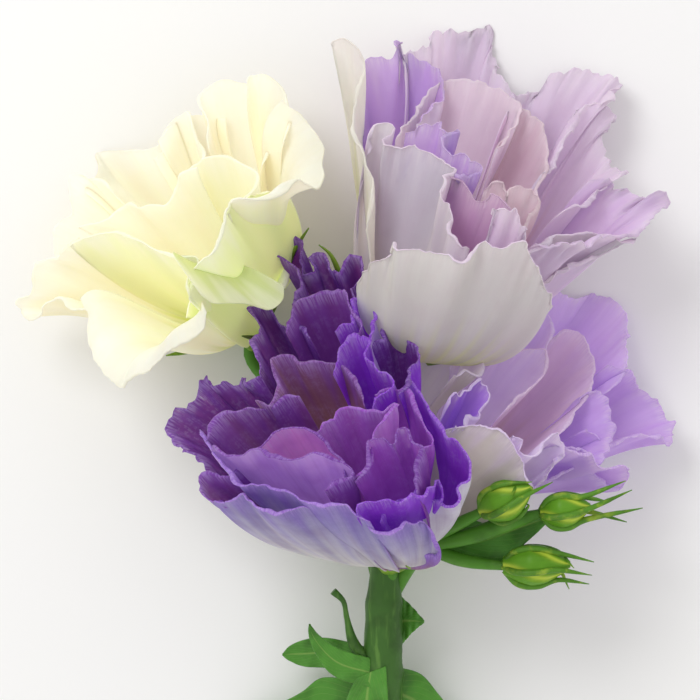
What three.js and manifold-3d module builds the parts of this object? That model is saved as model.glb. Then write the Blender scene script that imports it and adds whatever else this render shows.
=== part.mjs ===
// A cut spray of lisianthus lying face up: four double blooms, three buds and leaves on a bundle of stems.
// Millimetres, +Z up. The lowest petals and the cut stem ends rest on the plane z = 0.
import * as THREE from "three";
import Module from "manifold-3d";

const wasm = await Module();
wasm.setup();

// Driving dimensions, in millimetres.
const EYE_HEIGHT = 1000; // places are read from straight above, from this height over the table
const ORIGIN = { x: -0.7, y: -37.7 }; // the point under the middle of the spray, among those places
const TABLE = 0;
const PETAL_THICKNESS = 0.8;
const LEAF_THICKNESS = 1;
const GAP = 0.5; // clearance cut between neighbours that touch
const RECEPTACLE_RADIUS = 8;
const RECEPTACLE_HALF_LENGTH = 5;
const RECEPTACLE_RISE = 4.2; // the receptacle's middle lies this far up the axis from the throat
const THROAT_RADIUS = 1.9; // where the petals leave the receptacle
const CALYX_CUP_RADIUS = 4.6;
const CALYX_CUP_HALF_LENGTH = 4;
const CALYX_CUP_DROP = 5.2; // the cup's middle lies this far behind the throat
const LOBE_WIDTHS = [1.5, 1.5, 0.45]; // radius of a calyx lobe from its root to its tip
const AWL_WIDTHS = [0.9, 1.1, 1.1, 0.9, 0.4]; // the same for the lobes that clasp a bud
const AWL_LIFT = 1.02; // a lobe lies on its bud at this share of the bud's radius
const BLADE_FOLD = 0.12; // a leaf's midrib lies this share of its width below its edges

// How finely the surfaces are divided.
const RIM_SAMPLES = 160; // places looked at along a rim to find its corners
const RIM_TOLERANCE = 1.4; // millimetres that a facet may cut off a rim
const RIM_FACETS = 6; // the most facets along a rim
const PETAL_ROWS = 3; // facets from the throat to the rim
const SMALL_PETAL_ROWS = 2;
const SMALL_PETAL_RIM = 75; // a petal with less rim than this counts as small
const EGG_SIDES = 8;
const EGG_RINGS = 5;
const BUD_SIDES = 8;
const STEM_SIDES = 8;
const STALK_SIDES = 5;
const LOBE_SIDES = 3;
const AWL_STEPS = 4;
const BLADE_COLUMNS = 4;
const BLADE_ROWS = 7;
const WELD_DIGITS = 3; // decimal places of a millimetre
const SMALLEST_FACETS = [0.18, 0.16, 0.2, 0.14, 0.22]; // facets closer than this to their neighbours are merged

// How a petal rises from the throat, as two handles of a curve: share of the rim's radius, share of its height.
const CUPPED = [0.8, 0.06, 0.96, 0.6];
const UPRIGHT = [0.7, 0.1, 0.95, 0.6];
const SPREADING = [0.7, 0.12, 0.75, 0.85];
const REFLEXED = [0.65, 0.1, 0.6, 1.15];
const HANGING = [0.5, 0.3, 0.35, 1.7];
const INNER = [0.5, 0.15, 0.85, 0.6];
const CURLED = [0.63, 0.15, 0.8, 0.73];
const STRAIGHT = [0.36, 0.3, 0.72, 0.68];

// A place given across the table as it is seen from above, at its own height.
function seen(x, y, z) {
  const nearer = 1 - z / EYE_HEIGHT;
  return new THREE.Vector3(x * nearer, y * nearer, z);
}

// The same place as it is seen from above.
function flattened({ x, y, z }) {
  const nearer = 1 - z / EYE_HEIGHT;
  return [x / nearer, y / nearer, z];
}

// The value at share t of the way along a short list, with straight lines between its entries.
function along(list, t) {
  const place = t * (list.length - 1);
  const index = Math.min(Math.floor(place), list.length - 2);
  return THREE.MathUtils.lerp(list[index], list[index + 1], place - index);
}

// A closed solid from points and triangles, turned to face outwards.
function solidOf(points, triangles) {
  const make = (faces) =>
    new wasm.Manifold(
      new wasm.Mesh({
        numProp: 3,
        vertProperties: new Float32Array(points.flatMap((p) => p.toArray())),
        triVerts: new Uint32Array(faces.flat()),
      }),
    );
  const made = make(triangles);
  return made.volume() < 0 ? make(triangles.map(([a, b, c]) => [a, c, b])) : made;
}

// A sheet of even thickness on both sides of a grid of points, rows[j][i], grown on all sides if asked.
function sheet(rows, thickness, grow) {
  const last = { row: rows.length - 1, column: rows[0].length - 1 };
  const points = [];
  for (const side of [0.5, -0.5]) {
    rows.forEach((row, j) =>
      row.forEach((point, i) => {
        const across = row[Math.min(i + 1, last.column)].clone().sub(row[Math.max(i - 1, 0)]);
        const up = rows[Math.min(j + 1, last.row)][i].clone().sub(rows[Math.max(j - 1, 0)][i]);
        const normal = across.clone().cross(up).normalize();
        const corner = point.clone().addScaledVector(normal, side * (thickness + 2 * grow));
        const outwards = i === last.column ? 1 : i === 0 ? -1 : 0;
        corner.addScaledVector(across.normalize(), outwards * grow);
        corner.addScaledVector(up.normalize(), j === last.row ? grow : 0);
        points.push(corner);
      }),
    );
  }
  const width = last.column + 1;
  const back = width * (last.row + 1);
  const at = (j, i) => j * width + i;
  const triangles = [];
  for (let j = 0; j < last.row; j++) {
    for (let i = 0; i < last.column; i++) {
      const [a, b, c, d] = [at(j, i), at(j, i + 1), at(j + 1, i + 1), at(j + 1, i)];
      triangles.push([a, b, c], [a, c, d]);
      triangles.push([back + a, back + c, back + b], [back + a, back + d, back + c]);
    }
  }
  const edge = [];
  for (let i = 0; i < last.column; i++) edge.push(at(0, i));
  for (let j = 0; j < last.row; j++) edge.push(at(j, last.column));
  for (let i = last.column; i > 0; i--) edge.push(at(last.row, i));
  for (let j = last.row; j > 0; j--) edge.push(at(j, 0));
  edge.forEach((a, k) => {
    const b = edge[(k + 1) % edge.length];
    triangles.push([a, back + a, back + b], [a, back + b, b]);
  });
  return solidOf(points, triangles);
}

// A round rod of changing radius along a smooth curve: path holds [x, y, z, radius] as seen from above.
function rod(path, sides, steps, grow) {
  const curve = new THREE.CatmullRomCurve3(path.map(([x, y, z]) => seen(x, y, z)));
  const radii = path.map((entry) => entry[3]);
  const frames = curve.computeFrenetFrames(steps, false);
  const points = [];
  for (let j = 0; j <= steps; j++) {
    const centre = curve.getPoint(j / steps);
    const radius = along(radii, j / steps) + grow;
    for (let i = 0; i < sides; i++) {
      const turn = (2 * Math.PI * i) / sides;
      points.push(
        centre
          .clone()
          .addScaledVector(frames.normals[j], radius * Math.cos(turn))
          .addScaledVector(frames.binormals[j], radius * Math.sin(turn)),
      );
    }
  }
  const triangles = [];
  for (let j = 0; j < steps; j++) {
    for (let i = 0; i < sides; i++) {
      const next = (i + 1) % sides;
      const [a, b] = [j * sides + i, j * sides + next];
      triangles.push([a, b, b + sides], [a, b + sides, a + sides]);
    }
  }
  const top = steps * sides;
  for (let i = 1; i < sides - 1; i++) {
    triangles.push([0, i + 1, i], [top, top + i, top + i + 1]);
  }
  return solidOf(points, triangles);
}

// A ball, or an egg stretched along an axis.
function egg(centre, axis, radius, halfLength, grow) {
  const geometry = new THREE.SphereGeometry(1, EGG_SIDES, EGG_RINGS);
  geometry.scale(radius + grow, halfLength + grow, radius + grow);
  const turn = new THREE.Quaternion().setFromUnitVectors(new THREE.Vector3(0, 1, 0), axis);
  geometry.applyQuaternion(turn).translate(centre.x, centre.y, centre.z);
  return closedSolid(geometry);
}

// The solid inside one of three.js's own closed geometries, whose seam and poles are first joined.
function closedSolid(geometry) {
  const position = geometry.getAttribute("position");
  const places = new Map();
  const points = [];
  const cornerOf = (k) => {
    const point = new THREE.Vector3().fromBufferAttribute(position, k);
    const key = point.toArray().map((value) => value.toFixed(WELD_DIGITS)).join();
    if (!places.has(key)) {
      places.set(key, points.length);
      points.push(point);
    }
    return places.get(key);
  };
  return solidOf(points, trianglesOf(Array.from(geometry.index.array, cornerOf)));
}

// A bloom's own directions: its axis, the side on the right, and the side that faces up.
function bloomFrame(base, lean) {
  const axis = new THREE.Vector3(...lean).normalize();
  const right = new THREE.Vector3(axis.y, -axis.x, 0).normalize();
  const front = right.clone().cross(axis).normalize();
  return { base: seen(...base), axis, right, front };
}

// The corners that keep a curve's course within the tolerance, the most prominent ones first.
function cornersOf(curve) {
  const places = curve.getSpacedPoints(RIM_SAMPLES);
  const kept = [0, RIM_SAMPLES];
  const chord = new THREE.Line3();
  const nearest = new THREE.Vector3();
  while (kept.length <= RIM_FACETS) {
    let worst = { off: RIM_TOLERANCE };
    for (let k = 0; k + 1 < kept.length; k++) {
      chord.set(places[kept[k]], places[kept[k + 1]]);
      for (let i = kept[k] + 1; i < kept[k + 1]; i++) {
        const off = chord.closestPointToPoint(places[i], true, nearest).distanceTo(places[i]);
        if (off > worst.off) worst = { off, i, after: k + 1 };
      }
    }
    if (worst.i === undefined) break;
    kept.splice(worst.after, 0, worst.i);
  }
  return kept.map((i) => places[i]);
}

// One petal: its rim, traced as seen from above with its height along it, and the curve that it rises by.
function petalGrid(frame, { cup, heights, rim }) {
  const edge = new THREE.CatmullRomCurve3(
    rim.map(([x, y], k) => seen(x, y, along(heights, k / (rim.length - 1)))),
    false,
    "centripetal",
  );
  const rims = cornersOf(edge);
  const [radiusLow, heightLow, radiusHigh, heightHigh] = cup;
  const steps = edge.getLength() < SMALL_PETAL_RIM ? SMALL_PETAL_ROWS : PETAL_ROWS;
  const rows = [];
  for (let j = 0; j <= steps; j++) {
    const t = j / steps;
    const s = 1 - t;
    const [start, low, high, end] = [s * s * s, 3 * s * s * t, 3 * s * t * t, t * t * t];
    rows.push(
      rims.map((point) => {
        const out = point.clone().sub(frame.base);
        const height = out.dot(frame.axis);
        const radial = out.addScaledVector(frame.axis, -height);
        const radius = radial.length();
        const r = start * THROAT_RADIUS + (low * radiusLow + high * radiusHigh + end) * radius;
        const h = (low * heightLow + high * heightHigh + end) * height;
        return frame.base
          .clone()
          .addScaledVector(frame.axis, h)
          .addScaledVector(radial.normalize(), r);
      }),
    );
  }
  return rows;
}

// The largest body of a solid: its loose scraps are dropped and its sealed hollows are filled.
function largest(solid) {
  return solid.decompose().reduce((a, b) => (b.volume() > a.volume() ? b : a));
}

// The solid with points closer than the tolerance made one.
function welded(solid) {
  const { numProp, vertProperties, triVerts } = solid.getMesh();
  const places = new Map();
  const points = [];
  const cornerOf = (corner) => {
    const rounded = [0, 1, 2].map((k) => vertProperties[corner * numProp + k].toFixed(WELD_DIGITS));
    const key = rounded.join();
    if (!places.has(key)) {
      places.set(key, points.length);
      points.push(new THREE.Vector3(...rounded.map(Number)));
    }
    return places.get(key);
  };
  return solidOf(points, trianglesOf(Array.from(triVerts, cornerOf)));
}

// The triangles of a flat list of corners, without those that have collapsed.
function trianglesOf(corners) {
  const triangles = [];
  for (let k = 0; k < corners.length; k += 3) {
    const [a, b, c] = corners.slice(k, k + 3);
    if (a !== b && b !== c && c !== a) triangles.push([a, b, c]);
  }
  return triangles;
}

// True if two stretches of a surface touch each other along an edge.
function pinched(solid) {
  const { numProp, vertProperties, triVerts } = solid.getMesh();
  const uses = new Map();
  const placeOf = (corner) =>
    [0, 1, 2].map((k) => vertProperties[corner * numProp + k].toFixed(WELD_DIGITS)).join();
  for (let k = 0; k < triVerts.length; k += 3) {
    const places = [0, 1, 2].map((j) => placeOf(triVerts[k + j]));
    places.forEach((place, j) => {
      const edge = [place, places[(j + 1) % 3]].sort().join();
      uses.set(edge, (uses.get(edge) ?? 0) + 1);
    });
  }
  return [...uses.values()].some((count) => count !== 2);
}

// One clean body, cut off flat at the table and free of slivers.
function whole(solid) {
  const body = largest(solid.trimByPlane([0, 0, 1], TABLE));
  for (const tolerance of SMALLEST_FACETS) {
    const tidied = largest(welded(largest(body.simplify(tolerance))));
    if (!pinched(tidied)) return tidied;
  }
  throw new Error("two stretches of a surface touch along an edge");
}

// A bloom in one piece: its petals in their layers, rooted in the receptacle.
function bloomSolid({ base, lean, petals }, grow) {
  const frame = bloomFrame(base, lean);
  const middle = frame.base.clone().addScaledVector(frame.axis, RECEPTACLE_RISE);
  const receptacle = egg(middle, frame.axis, RECEPTACLE_RADIUS, RECEPTACLE_HALF_LENGTH, grow);
  const sheets = petals.map((petal) => sheet(petalGrid(frame, petal), PETAL_THICKNESS, grow));
  return wasm.Manifold.union([receptacle, ...sheets]);
}

const cream = {
  base: [-26, 7, 12],
  lean: [-21, 25.5, 37],
  petals: [
    // top back petal
    {
      cup: SPREADING,
      heights: [30, 20, 17, 18, 22, 36],
      rim: [[-36, 53], [-35.5, 57.5], [-36.8, 62.5], [-35, 65.5], [-32, 67.3], [-28.8, 66.8], [-25, 65.8],
        [-23, 63.8], [-21.3, 60], [-20, 56], [-20.5, 51], [-22, 46]],
    },
    // second top petal
    {
      cup: SPREADING,
      heights: [26, 22, 24, 30, 40],
      rim: [[-25.5, 65], [-25.3, 67.8], [-23.8, 68.3], [-21.5, 68.5], [-18.8, 66.8], [-17, 64.5], [-16, 61],
        [-15.5, 57.5], [-16.3, 52.5]],
    },
    // small back petal
    {
      cup: SPREADING,
      heights: [20, 16, 16, 20],
      rim: [[-48, 52], [-44, 56], [-40, 58], [-37.5, 58.3], [-34, 57.5], [-31, 58]],
    },
    // peaked petal
    {
      cup: SPREADING,
      heights: [20, 16, 18, 24, 34],
      rim: [[-49, 47.5], [-46.3, 50], [-46.3, 53.8], [-45, 56.3], [-43, 58], [-40.8, 59.3], [-39.5, 56.3],
        [-38.3, 52.5], [-36.8, 48.8], [-37.5, 45.8]],
    },
    // upper left petal, its upper half
    {
      cup: SPREADING,
      heights: [12, 1, -2, 1, 10, 18],
      rim: [[-66, 39], [-65, 42.5], [-63.8, 43], [-63, 45.5], [-63.8, 48], [-63, 49.3], [-55, 49.5], [-50, 50],
        [-47.5, 51.3], [-44.5, 52.5]],
    },
    // upper left petal, its lower half
    {
      cup: SPREADING,
      heights: [28, 20, 13, 10, 8, 14],
      rim: [[-73.3, 22], [-73.8, 27.5], [-73, 30.5], [-71.3, 32.5], [-69.3, 33.8], [-69.5, 37.5], [-70, 41.3],
        [-69.8, 43.3], [-67.5, 43.5], [-65, 42.5], [-62, 41.5], [-58, 38]],
    },
    // inner petal with a ruffled edge
    {
      cup: SPREADING,
      heights: [28, 30, 34, 36, 40],
      rim: [[-68, 30.5], [-63, 32], [-59.3, 33.3], [-56.3, 35], [-54.5, 35.8], [-52.5, 34.8], [-50, 35.5],
        [-46.3, 35.3], [-44.5, 36.8], [-43, 41.3], [-42.3, 43.8], [-40, 44.8], [-38, 45.8]],
    },
    // inner petal in the middle
    {
      cup: INNER,
      heights: [36, 40, 44, 50, 58],
      rim: [[-41.3, 44], [-38, 46.3], [-36.3, 48], [-31.3, 48.3], [-27.5, 46.3], [-23.8, 43.8], [-24.5, 40.5],
        [-26.3, 38.3], [-28.8, 36.3], [-30.5, 33.8]],
    },
    // long petal on the left
    {
      cup: SPREADING,
      heights: [36, 30, 26, 20, 22, 30, 40],
      rim: [[-67.5, 28], [-72, 25], [-73.3, 22], [-76.3, 21], [-78.3, 20], [-78.5, 17.5], [-79, 15],
        [-83.3, 13], [-82.5, 10.5], [-80.5, 8.8], [-78.8, 8.8], [-76.8, 10], [-76.5, 12], [-72.5, 12.5],
        [-70, 11.3], [-66.3, 10.3], [-62.5, 12]],
    },
    // inner petal at the front
    {
      cup: UPRIGHT,
      heights: [36, 42, 47, 52, 56, 58],
      rim: [[-70, 26], [-67.5, 27.5], [-63.8, 28.8], [-57.5, 29.5], [-53.8, 28], [-50, 25.8], [-46.3, 24.5],
        [-42.5, 23.5], [-38, 23], [-38.3, 18.8], [-40, 13]],
    },
    // big petal at the front, hanging over
    {
      cup: REFLEXED,
      heights: [40, 42, 46, 50, 52, 54, 56],
      rim: [[-67.5, 12.8], [-65.8, 9.5], [-65.5, 5], [-64.3, 0], [-63, -3], [-61.5, -5.5], [-59.5, -7.3],
        [-57.5, -9], [-56.3, -7], [-53.8, -5.8], [-50.8, -4.8], [-48, -2.5], [-45.5, -0.5], [-43, 1.3],
        [-40, 3], [-37.3, 5.5], [-36, 9.5]],
    },
    // right wall of the cup
    {
      cup: CUPPED,
      heights: [40, 50, 56, 60, 61, 60, 58],
      rim: [[-16.3, 40], [-20, 39], [-24.5, 38.5], [-28, 38], [-30, 36.8], [-31, 33.5], [-32, 30],
        [-33.8, 27.5], [-35.5, 25], [-37.5, 22.5], [-38.8, 18.8], [-40, 12.5]],
    },
    // rolled lip on the lower right
    {
      cup: HANGING,
      heights: [60, 58, 55, 52, 50, 50],
      rim: [[-37.5, 14], [-34.5, 12], [-30, 12], [-26.4, 12], [-22.5, 11], [-19.8, 10.4], [-17.2, 12.5],
        [-16.5, 16]],
    },
    // front wall under the lip
    {
      cup: SPREADING,
      heights: [50, 51, 49, 44, 36, 28],
      rim: [[-41, 8], [-40, 12], [-35.8, 16.5], [-33, 19], [-27, 19.5], [-21.5, 17.5], [-18, 15], [-16, 22]],
    },
    // petal turned back on the right
    {
      cup: REFLEXED,
      heights: [32, 36, 42, 46, 50, 56, 60],
      rim: [[-17, 62.5], [-16, 61], [-13, 59], [-10, 55.5], [-7.5, 51.8], [-6.8, 49.5], [-7.3, 46.3],
        [-6.8, 43.8], [-8.5, 40.5], [-11.3, 41.8], [-13.3, 42.5], [-16.3, 40], [-20, 38.5], [-23.8, 38],
        [-26.3, 37.8]],
    },
  ],
};

const pale = {
  base: [16.3, 0.5, 20],
  lean: [12.5, 45, 24],
  petals: [
    // top petal
    {
      cup: SPREADING,
      heights: [14, 6, 2, 0, 0, 3, 8, 18],
      rim: [[13.8, 68.8], [14.5, 73.8], [18.8, 75.3], [20, 78.5], [23.8, 79.5], [27.5, 80], [32.5, 80.5],
        [33.8, 81.5], [35.8, 79.5], [35, 75], [36.8, 71], [35.8, 69.5], [38.3, 67.3], [40.5, 63], [38.8, 58.8]],
    },
    // upper left petal
    {
      cup: SPREADING,
      heights: [28, 20, 13, 9, 10, 16, 26],
      rim: [[1.3, 53.8], [2.5, 58.8], [3, 65], [4, 71.5], [6.3, 72.8], [10.3, 72.5], [11, 76.5], [13.3, 77],
        [13.3, 74.5], [18.8, 72], [22.5, 68.8], [23.8, 63.8], [20, 60], [16.3, 56.3]],
    },
    // upper right petal
    {
      cup: SPREADING,
      heights: [12, 6, 3, 4, 8, 16, 26, 36],
      rim: [[38.8, 61.3], [40.5, 63.5], [45, 63.8], [47.5, 65], [50, 68.8], [53.8, 68.3], [57.5, 70],
        [60, 69], [63.8, 69.3], [67.3, 66.5], [65, 64.8], [60.5, 61.8], [58.3, 58.8], [55, 55], [51.3, 50],
        [48.8, 45], [47.8, 42]],
    },
    // upper petal on the right
    {
      cup: SPREADING,
      heights: [14, 9, 12, 18, 26, 32, 38],
      rim: [[56.3, 57.5], [60.5, 61.5], [62.5, 60.8], [64.3, 59.3], [65.5, 56.8], [63, 53], [62.5, 51],
        [63.8, 48.8], [65.8, 44.5], [68.5, 44.5], [67, 42.5], [63.8, 40.8], [60, 38.8], [55.8, 36.3],
        [52.5, 33.8]],
    },
    // pointed petal on the right
    {
      cup: SPREADING,
      heights: [30, 30, 30, 32, 38, 46, 54],
      rim: [[60, 42.5], [63.5, 42.5], [67, 40], [68.8, 40], [72.5, 38], [75, 37.5], [77.5, 38.5],
        [79.3, 36.8], [76.3, 34.3], [73.8, 32], [70.8, 29.5], [66.3, 28], [60, 27.5], [52.5, 27], [46.3, 26.3]],
    },
    // round inner petal at the back
    {
      cup: INNER,
      heights: [32, 24, 17, 14, 16, 22, 28],
      rim: [[11.3, 52.5], [13.8, 55.5], [15.5, 57], [17.5, 60], [18.8, 63], [21.3, 65.5], [25, 67],
        [28.8, 67.3], [32.5, 66.5], [37.5, 64.5], [41.3, 61.3], [42.5, 57.5], [40, 53.8], [36.3, 50]],
    },
    // inner petal on the right
    {
      cup: INNER,
      heights: [24, 18, 20, 28, 36, 44],
      rim: [[36.3, 50], [41.3, 55], [42.5, 60], [45, 58], [48, 56.3], [48.8, 51.3], [48.3, 46.3],
        [47.8, 42.5], [45.8, 38.3], [42.5, 40]],
    },
    // long petal on the left, its tip curled out
    {
      cup: CURLED,
      heights: [44, 46, 45, 41, 37, 31, 27, 26, 25, 24, 21, 17, 14],
      rim: [[4, 29.8], [6, 36.6], [5.7, 42.3], [2.8, 50.4], [1.1, 55], [2, 63.5], [3.7, 71], [2, 75.5],
        [-1.5, 77.5], [-4.6, 76.8], [-0.5, 70], [2.5, 60], [5, 50]],
    },
    // twisted little petal in the throat
    {
      cup: INNER,
      heights: [40, 44, 48, 52, 54],
      rim: [[13.8, 53.8], [18.8, 56], [21.5, 56.5], [23.3, 54.5], [27.5, 54.3], [24.5, 52], [25, 48.8],
        [28.8, 48.3], [32, 46], [32.5, 43.5], [29.5, 42.5], [26.3, 44.5]],
    },
    // inner petal in the middle
    {
      cup: UPRIGHT,
      heights: [52, 54, 56, 58, 58, 56],
      rim: [[24.5, 42.5], [25, 43.8], [27.5, 42], [29.3, 40], [31.3, 37], [33.8, 37], [35.5, 39.3],
        [37.5, 38], [39.5, 36.3], [40.5, 33.8], [38.8, 27.5], [35, 26.3]],
    },
    // frill on the right of the throat
    {
      cup: UPRIGHT,
      heights: [50, 50, 53, 50, 48, 52],
      rim: [[33.5, 40.5], [36.3, 41.8], [38.3, 40.5], [39.3, 37.5], [40, 38.8], [43, 40.5], [45.8, 38.5],
        [47.5, 36.3], [45, 31.3], [44, 26.3]],
    },
    // pale flap above the front petals
    {
      cup: UPRIGHT,
      heights: [62, 64, 64, 62, 58],
      rim: [[35, 28.8], [35.5, 35], [38.8, 35.5], [41.3, 34.5], [43, 31.3], [44, 27.5], [43, 24]],
    },
    // front petal on the left
    {
      cup: CUPPED,
      heights: [36, 40, 42, 44, 50, 56, 62, 64],
      rim: [[2.5, 40], [3, 46.3], [4.5, 50], [5, 54.3], [8.8, 56.3], [10.5, 55.5], [9.5, 51.3], [13.5, 50.5],
        [16.3, 50.8], [18.8, 49.5], [23.8, 47], [26.3, 44.5], [24.3, 43], [23.3, 37.5], [25, 33.8],
        [25.8, 30], [28.3, 27], [30, 25]],
    },
    // outer petal on the lower right
    {
      cup: SPREADING,
      heights: [56, 52, 48, 42, 38, 38, 40, 42],
      rim: [[43, 23], [44.5, 24.8], [48.8, 27.5], [51.3, 28.8], [55, 28.3], [58.8, 28.8], [62.5, 29],
        [66.3, 28.5], [71.5, 28], [67.5, 26.3], [62.5, 24.5], [58.8, 22.5], [55, 20.5], [50, 16.8]],
    },
    // broad outer petal at the front
    {
      cup: CUPPED,
      heights: [42, 50, 58, 63, 67, 69, 69, 69, 67, 62, 54, 44],
      rim: [[1.8, 13], [2.5, 18], [3.8, 20], [6.3, 22], [9.5, 23], [11.8, 26.3], [12.5, 25], [16.3, 25.5],
        [18.8, 24.5], [22.5, 24], [26.8, 21.8], [29.3, 22], [31.3, 25], [33.8, 26.8], [38.3, 25.5],
        [43, 27.5], [44.5, 23.8], [46.3, 20.5], [48.8, 15.8], [50, 13.3], [49, 9]],
    },
  ],
};

const violet = {
  base: [8.8, -48.8, 27],
  lean: [-16, 29, 40],
  petals: [
    // tall back petal with a jagged tip
    {
      cup: UPRIGHT,
      heights: [38, 34, 31, 33, 36, 38, 42],
      rim: [[-14, 10], [-13, 17.5], [-14.5, 22.5], [-15.5, 26.3], [-12.5, 26.3], [-10.5, 19.5], [-9.8, 23.3],
        [-8, 24], [-5, 18], [-2.5, 20], [1.3, 21], [1.8, 16.3], [1.3, 12.5], [0, 5]],
    },
    // back petal on the left
    {
      cup: UPRIGHT,
      heights: [52, 46, 40, 36, 36, 40, 44],
      rim: [[-22, -7], [-22.8, -1.3], [-23.8, 2.5], [-22.5, 5.5], [-24.3, 10.5], [-22, 9], [-20, 10],
        [-17.5, 7], [-15, 5], [-12.5, 5], [-10, 3]],
    },
    // middle layer at the back
    {
      cup: UPRIGHT,
      heights: [46, 42, 42, 44, 48],
      rim: [[-16, 4], [-15.5, 8], [-13, 12], [-8.8, 12.5], [-5, 13.5], [-1.3, 14.3], [0, 11], [2, 4]],
    },
    // curl at the top right
    {
      cup: UPRIGHT,
      heights: [48, 44, 44, 48, 52],
      rim: [[-4, 5], [0, 8], [1.3, 12.5], [3, 12.5], [4.5, 11], [4.8, 6.3], [6, 2.5], [5, -2]],
    },
    // dark petal at the upper right
    {
      cup: UPRIGHT,
      heights: [48, 46, 46, 50, 56, 60],
      rim: [[5, 1], [7.5, 2], [8.8, 3.8], [10.8, 5], [13.8, 3], [16.3, 0], [15.5, -3.8], [15, -7],
        [13.8, -9.5], [12, -11]],
    },
    // folded petal at the upper right
    {
      cup: UPRIGHT,
      heights: [56, 55, 54, 56, 58, 61],
      rim: [[-3.8, -6.3], [-3, -2], [-1.3, 1.3], [1.3, 3.3], [5.5, 1.8], [4, -1.5], [6.3, -4.3],
        [8.8, -7.5], [7, -10.5], [5.5, -15]],
    },
    // inner back petal
    {
      cup: INNER,
      heights: [60, 58, 54, 51, 52, 54, 60],
      rim: [[-23.8, -12.5], [-20, -14.3], [-17, -9.5], [-18.8, -6], [-20, -3], [-18.5, -1.8], [-16.5, -2],
        [-12.5, -3.8], [-7.5, -3.5], [-2.5, -4], [0.5, -7.5], [3.8, -14.5]],
    },
    // inner petal on the left
    {
      cup: INNER,
      heights: [60, 57, 57, 58, 58],
      rim: [[-36, -23], [-33.8, -19.5], [-32, -17.5], [-28.8, -15.5], [-23.8, -14.5], [-20, -14.5],
        [-16.3, -13], [-12.5, -11.8]],
    },
    // frilled outer petal on the left
    {
      cup: SPREADING,
      heights: [48, 45, 43, 40, 38, 40, 46, 52],
      rim: [[-22, -6.3], [-25.8, -9.5], [-28.8, -10], [-31.3, -7.5], [-33.8, -8.8], [-35.8, -7],
        [-37.5, -10], [-39.5, -13.8], [-43.8, -15.5], [-44.8, -17.5], [-44.5, -20.5], [-43, -23.3],
        [-40.5, -25.8], [-37.5, -28], [-35.8, -31.3]],
    },
    // small outer petal at the lower left
    {
      cup: UPRIGHT,
      heights: [64, 60, 55, 52, 54, 60],
      rim: [[-24, -28], [-28.5, -30.5], [-32, -32], [-35.8, -31.5], [-37, -33], [-36.8, -35.5],
        [-35.5, -37.5], [-33, -38.3], [-28.8, -38]],
    },
    // magenta petal on the right
    {
      cup: UPRIGHT,
      heights: [60, 57, 60, 66, 70],
      rim: [[6.3, -11.3], [8.8, -10], [12, -9.5], [14.3, -10], [15.5, -13], [17.5, -17.5], [19.8, -23.3],
        [17, -23.8], [13.8, -21.8]],
    },
    // inner tongue
    {
      cup: INNER,
      heights: [66, 70, 72, 74, 77],
      rim: [[-25, -25.5], [-21.3, -21.8], [-17.5, -20], [-12.5, -19.5], [-8.8, -20.8], [-6.3, -22.5],
        [-3.8, -25.5], [-1.3, -28], [-1.3, -32.5]],
    },
    // broad tongue in front of it
    {
      cup: UPRIGHT,
      heights: [62, 68, 73, 77, 79, 80, 80],
      rim: [[-34.5, -26], [-33.8, -23.8], [-30, -26.5], [-23.8, -25], [-18.8, -25.5], [-15, -27.5],
        [-12.5, -27], [-8.8, -25.5], [-2.5, -28], [0.5, -30.5], [-2.5, -34], [-6.3, -35.5]],
    },
    // curled petal at the right of the throat
    {
      cup: INNER,
      heights: [70, 67, 67, 70, 75, 79],
      rim: [[-8.3, -20.5], [-3.8, -17.5], [0, -15.5], [3.8, -15.3], [8.8, -15.5], [11.8, -13.8],
        [8.8, -17.5], [5, -21.3], [3.8, -28.8], [1.3, -32.5]],
    },
    // lower petal on the right
    {
      cup: UPRIGHT,
      heights: [80, 78, 77, 77, 78, 78],
      rim: [[1.3, -33], [3.8, -28.8], [4.3, -22.5], [8.8, -22.5], [11.3, -25], [12.5, -20.8], [16.3, -22.5],
        [18.8, -24.3], [18, -30], [17, -36]],
    },
    // outer petal on the right
    {
      cup: UPRIGHT,
      heights: [52, 56, 62, 66, 66, 66, 68, 72],
      rim: [[13, -10], [15.5, -8.8], [20, -15.5], [24.3, -21.8], [30, -28.3], [26.8, -33.8], [27.5, -37.5],
        [25.8, -39], [21.3, -37.5], [16, -37]],
    },
    // bright lip at the lower right
    {
      cup: INNER,
      heights: [84, 83, 80, 74, 68, 72, 78],
      rim: [[2, -42], [3, -38.8], [6.3, -37.5], [10, -36.8], [14.5, -36], [18.5, -35.4], [22.2, -33.2],
        [21, -37.5], [16.3, -37.5], [12.5, -38], [9.5, -40], [7.5, -43]],
    },
    // front lip
    {
      cup: UPRIGHT,
      heights: [54, 60, 68, 74, 79, 82, 83, 84],
      rim: [[-37.5, -20], [-36.3, -21.3], [-34.5, -25], [-31.3, -28.8], [-26.3, -32.5], [-21.3, -34.3],
        [-17.5, -35.5], [-11.3, -37.5], [-7.5, -38], [-1.3, -38.3], [1.3, -41.3], [5, -43]],
    },
    // lowest outer petal
    {
      cup: UPRIGHT,
      heights: [58, 66, 72, 76, 78, 76, 70, 60],
      rim: [[-34, -38], [-30, -37.5], [-26.8, -36], [-25, -38], [-18.8, -40.3], [-12.5, -39.5], [-6.3, -40],
        [-1.3, -42.5], [2.5, -46.3], [4.5, -50]],
    },
    // frilled petal at the lower right
    {
      cup: UPRIGHT,
      heights: [82, 80, 77, 73, 68, 62, 56, 46],
      rim: [[0.5, -40.5], [3.8, -42.5], [7.5, -44], [12.5, -43.8], [16.3, -43.8], [18, -42.8], [20, -45],
        [22.5, -50], [21, -52], [18.8, -50.8], [13.8, -51.6], [8.5, -53.5]],
    },
  ],
};

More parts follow.
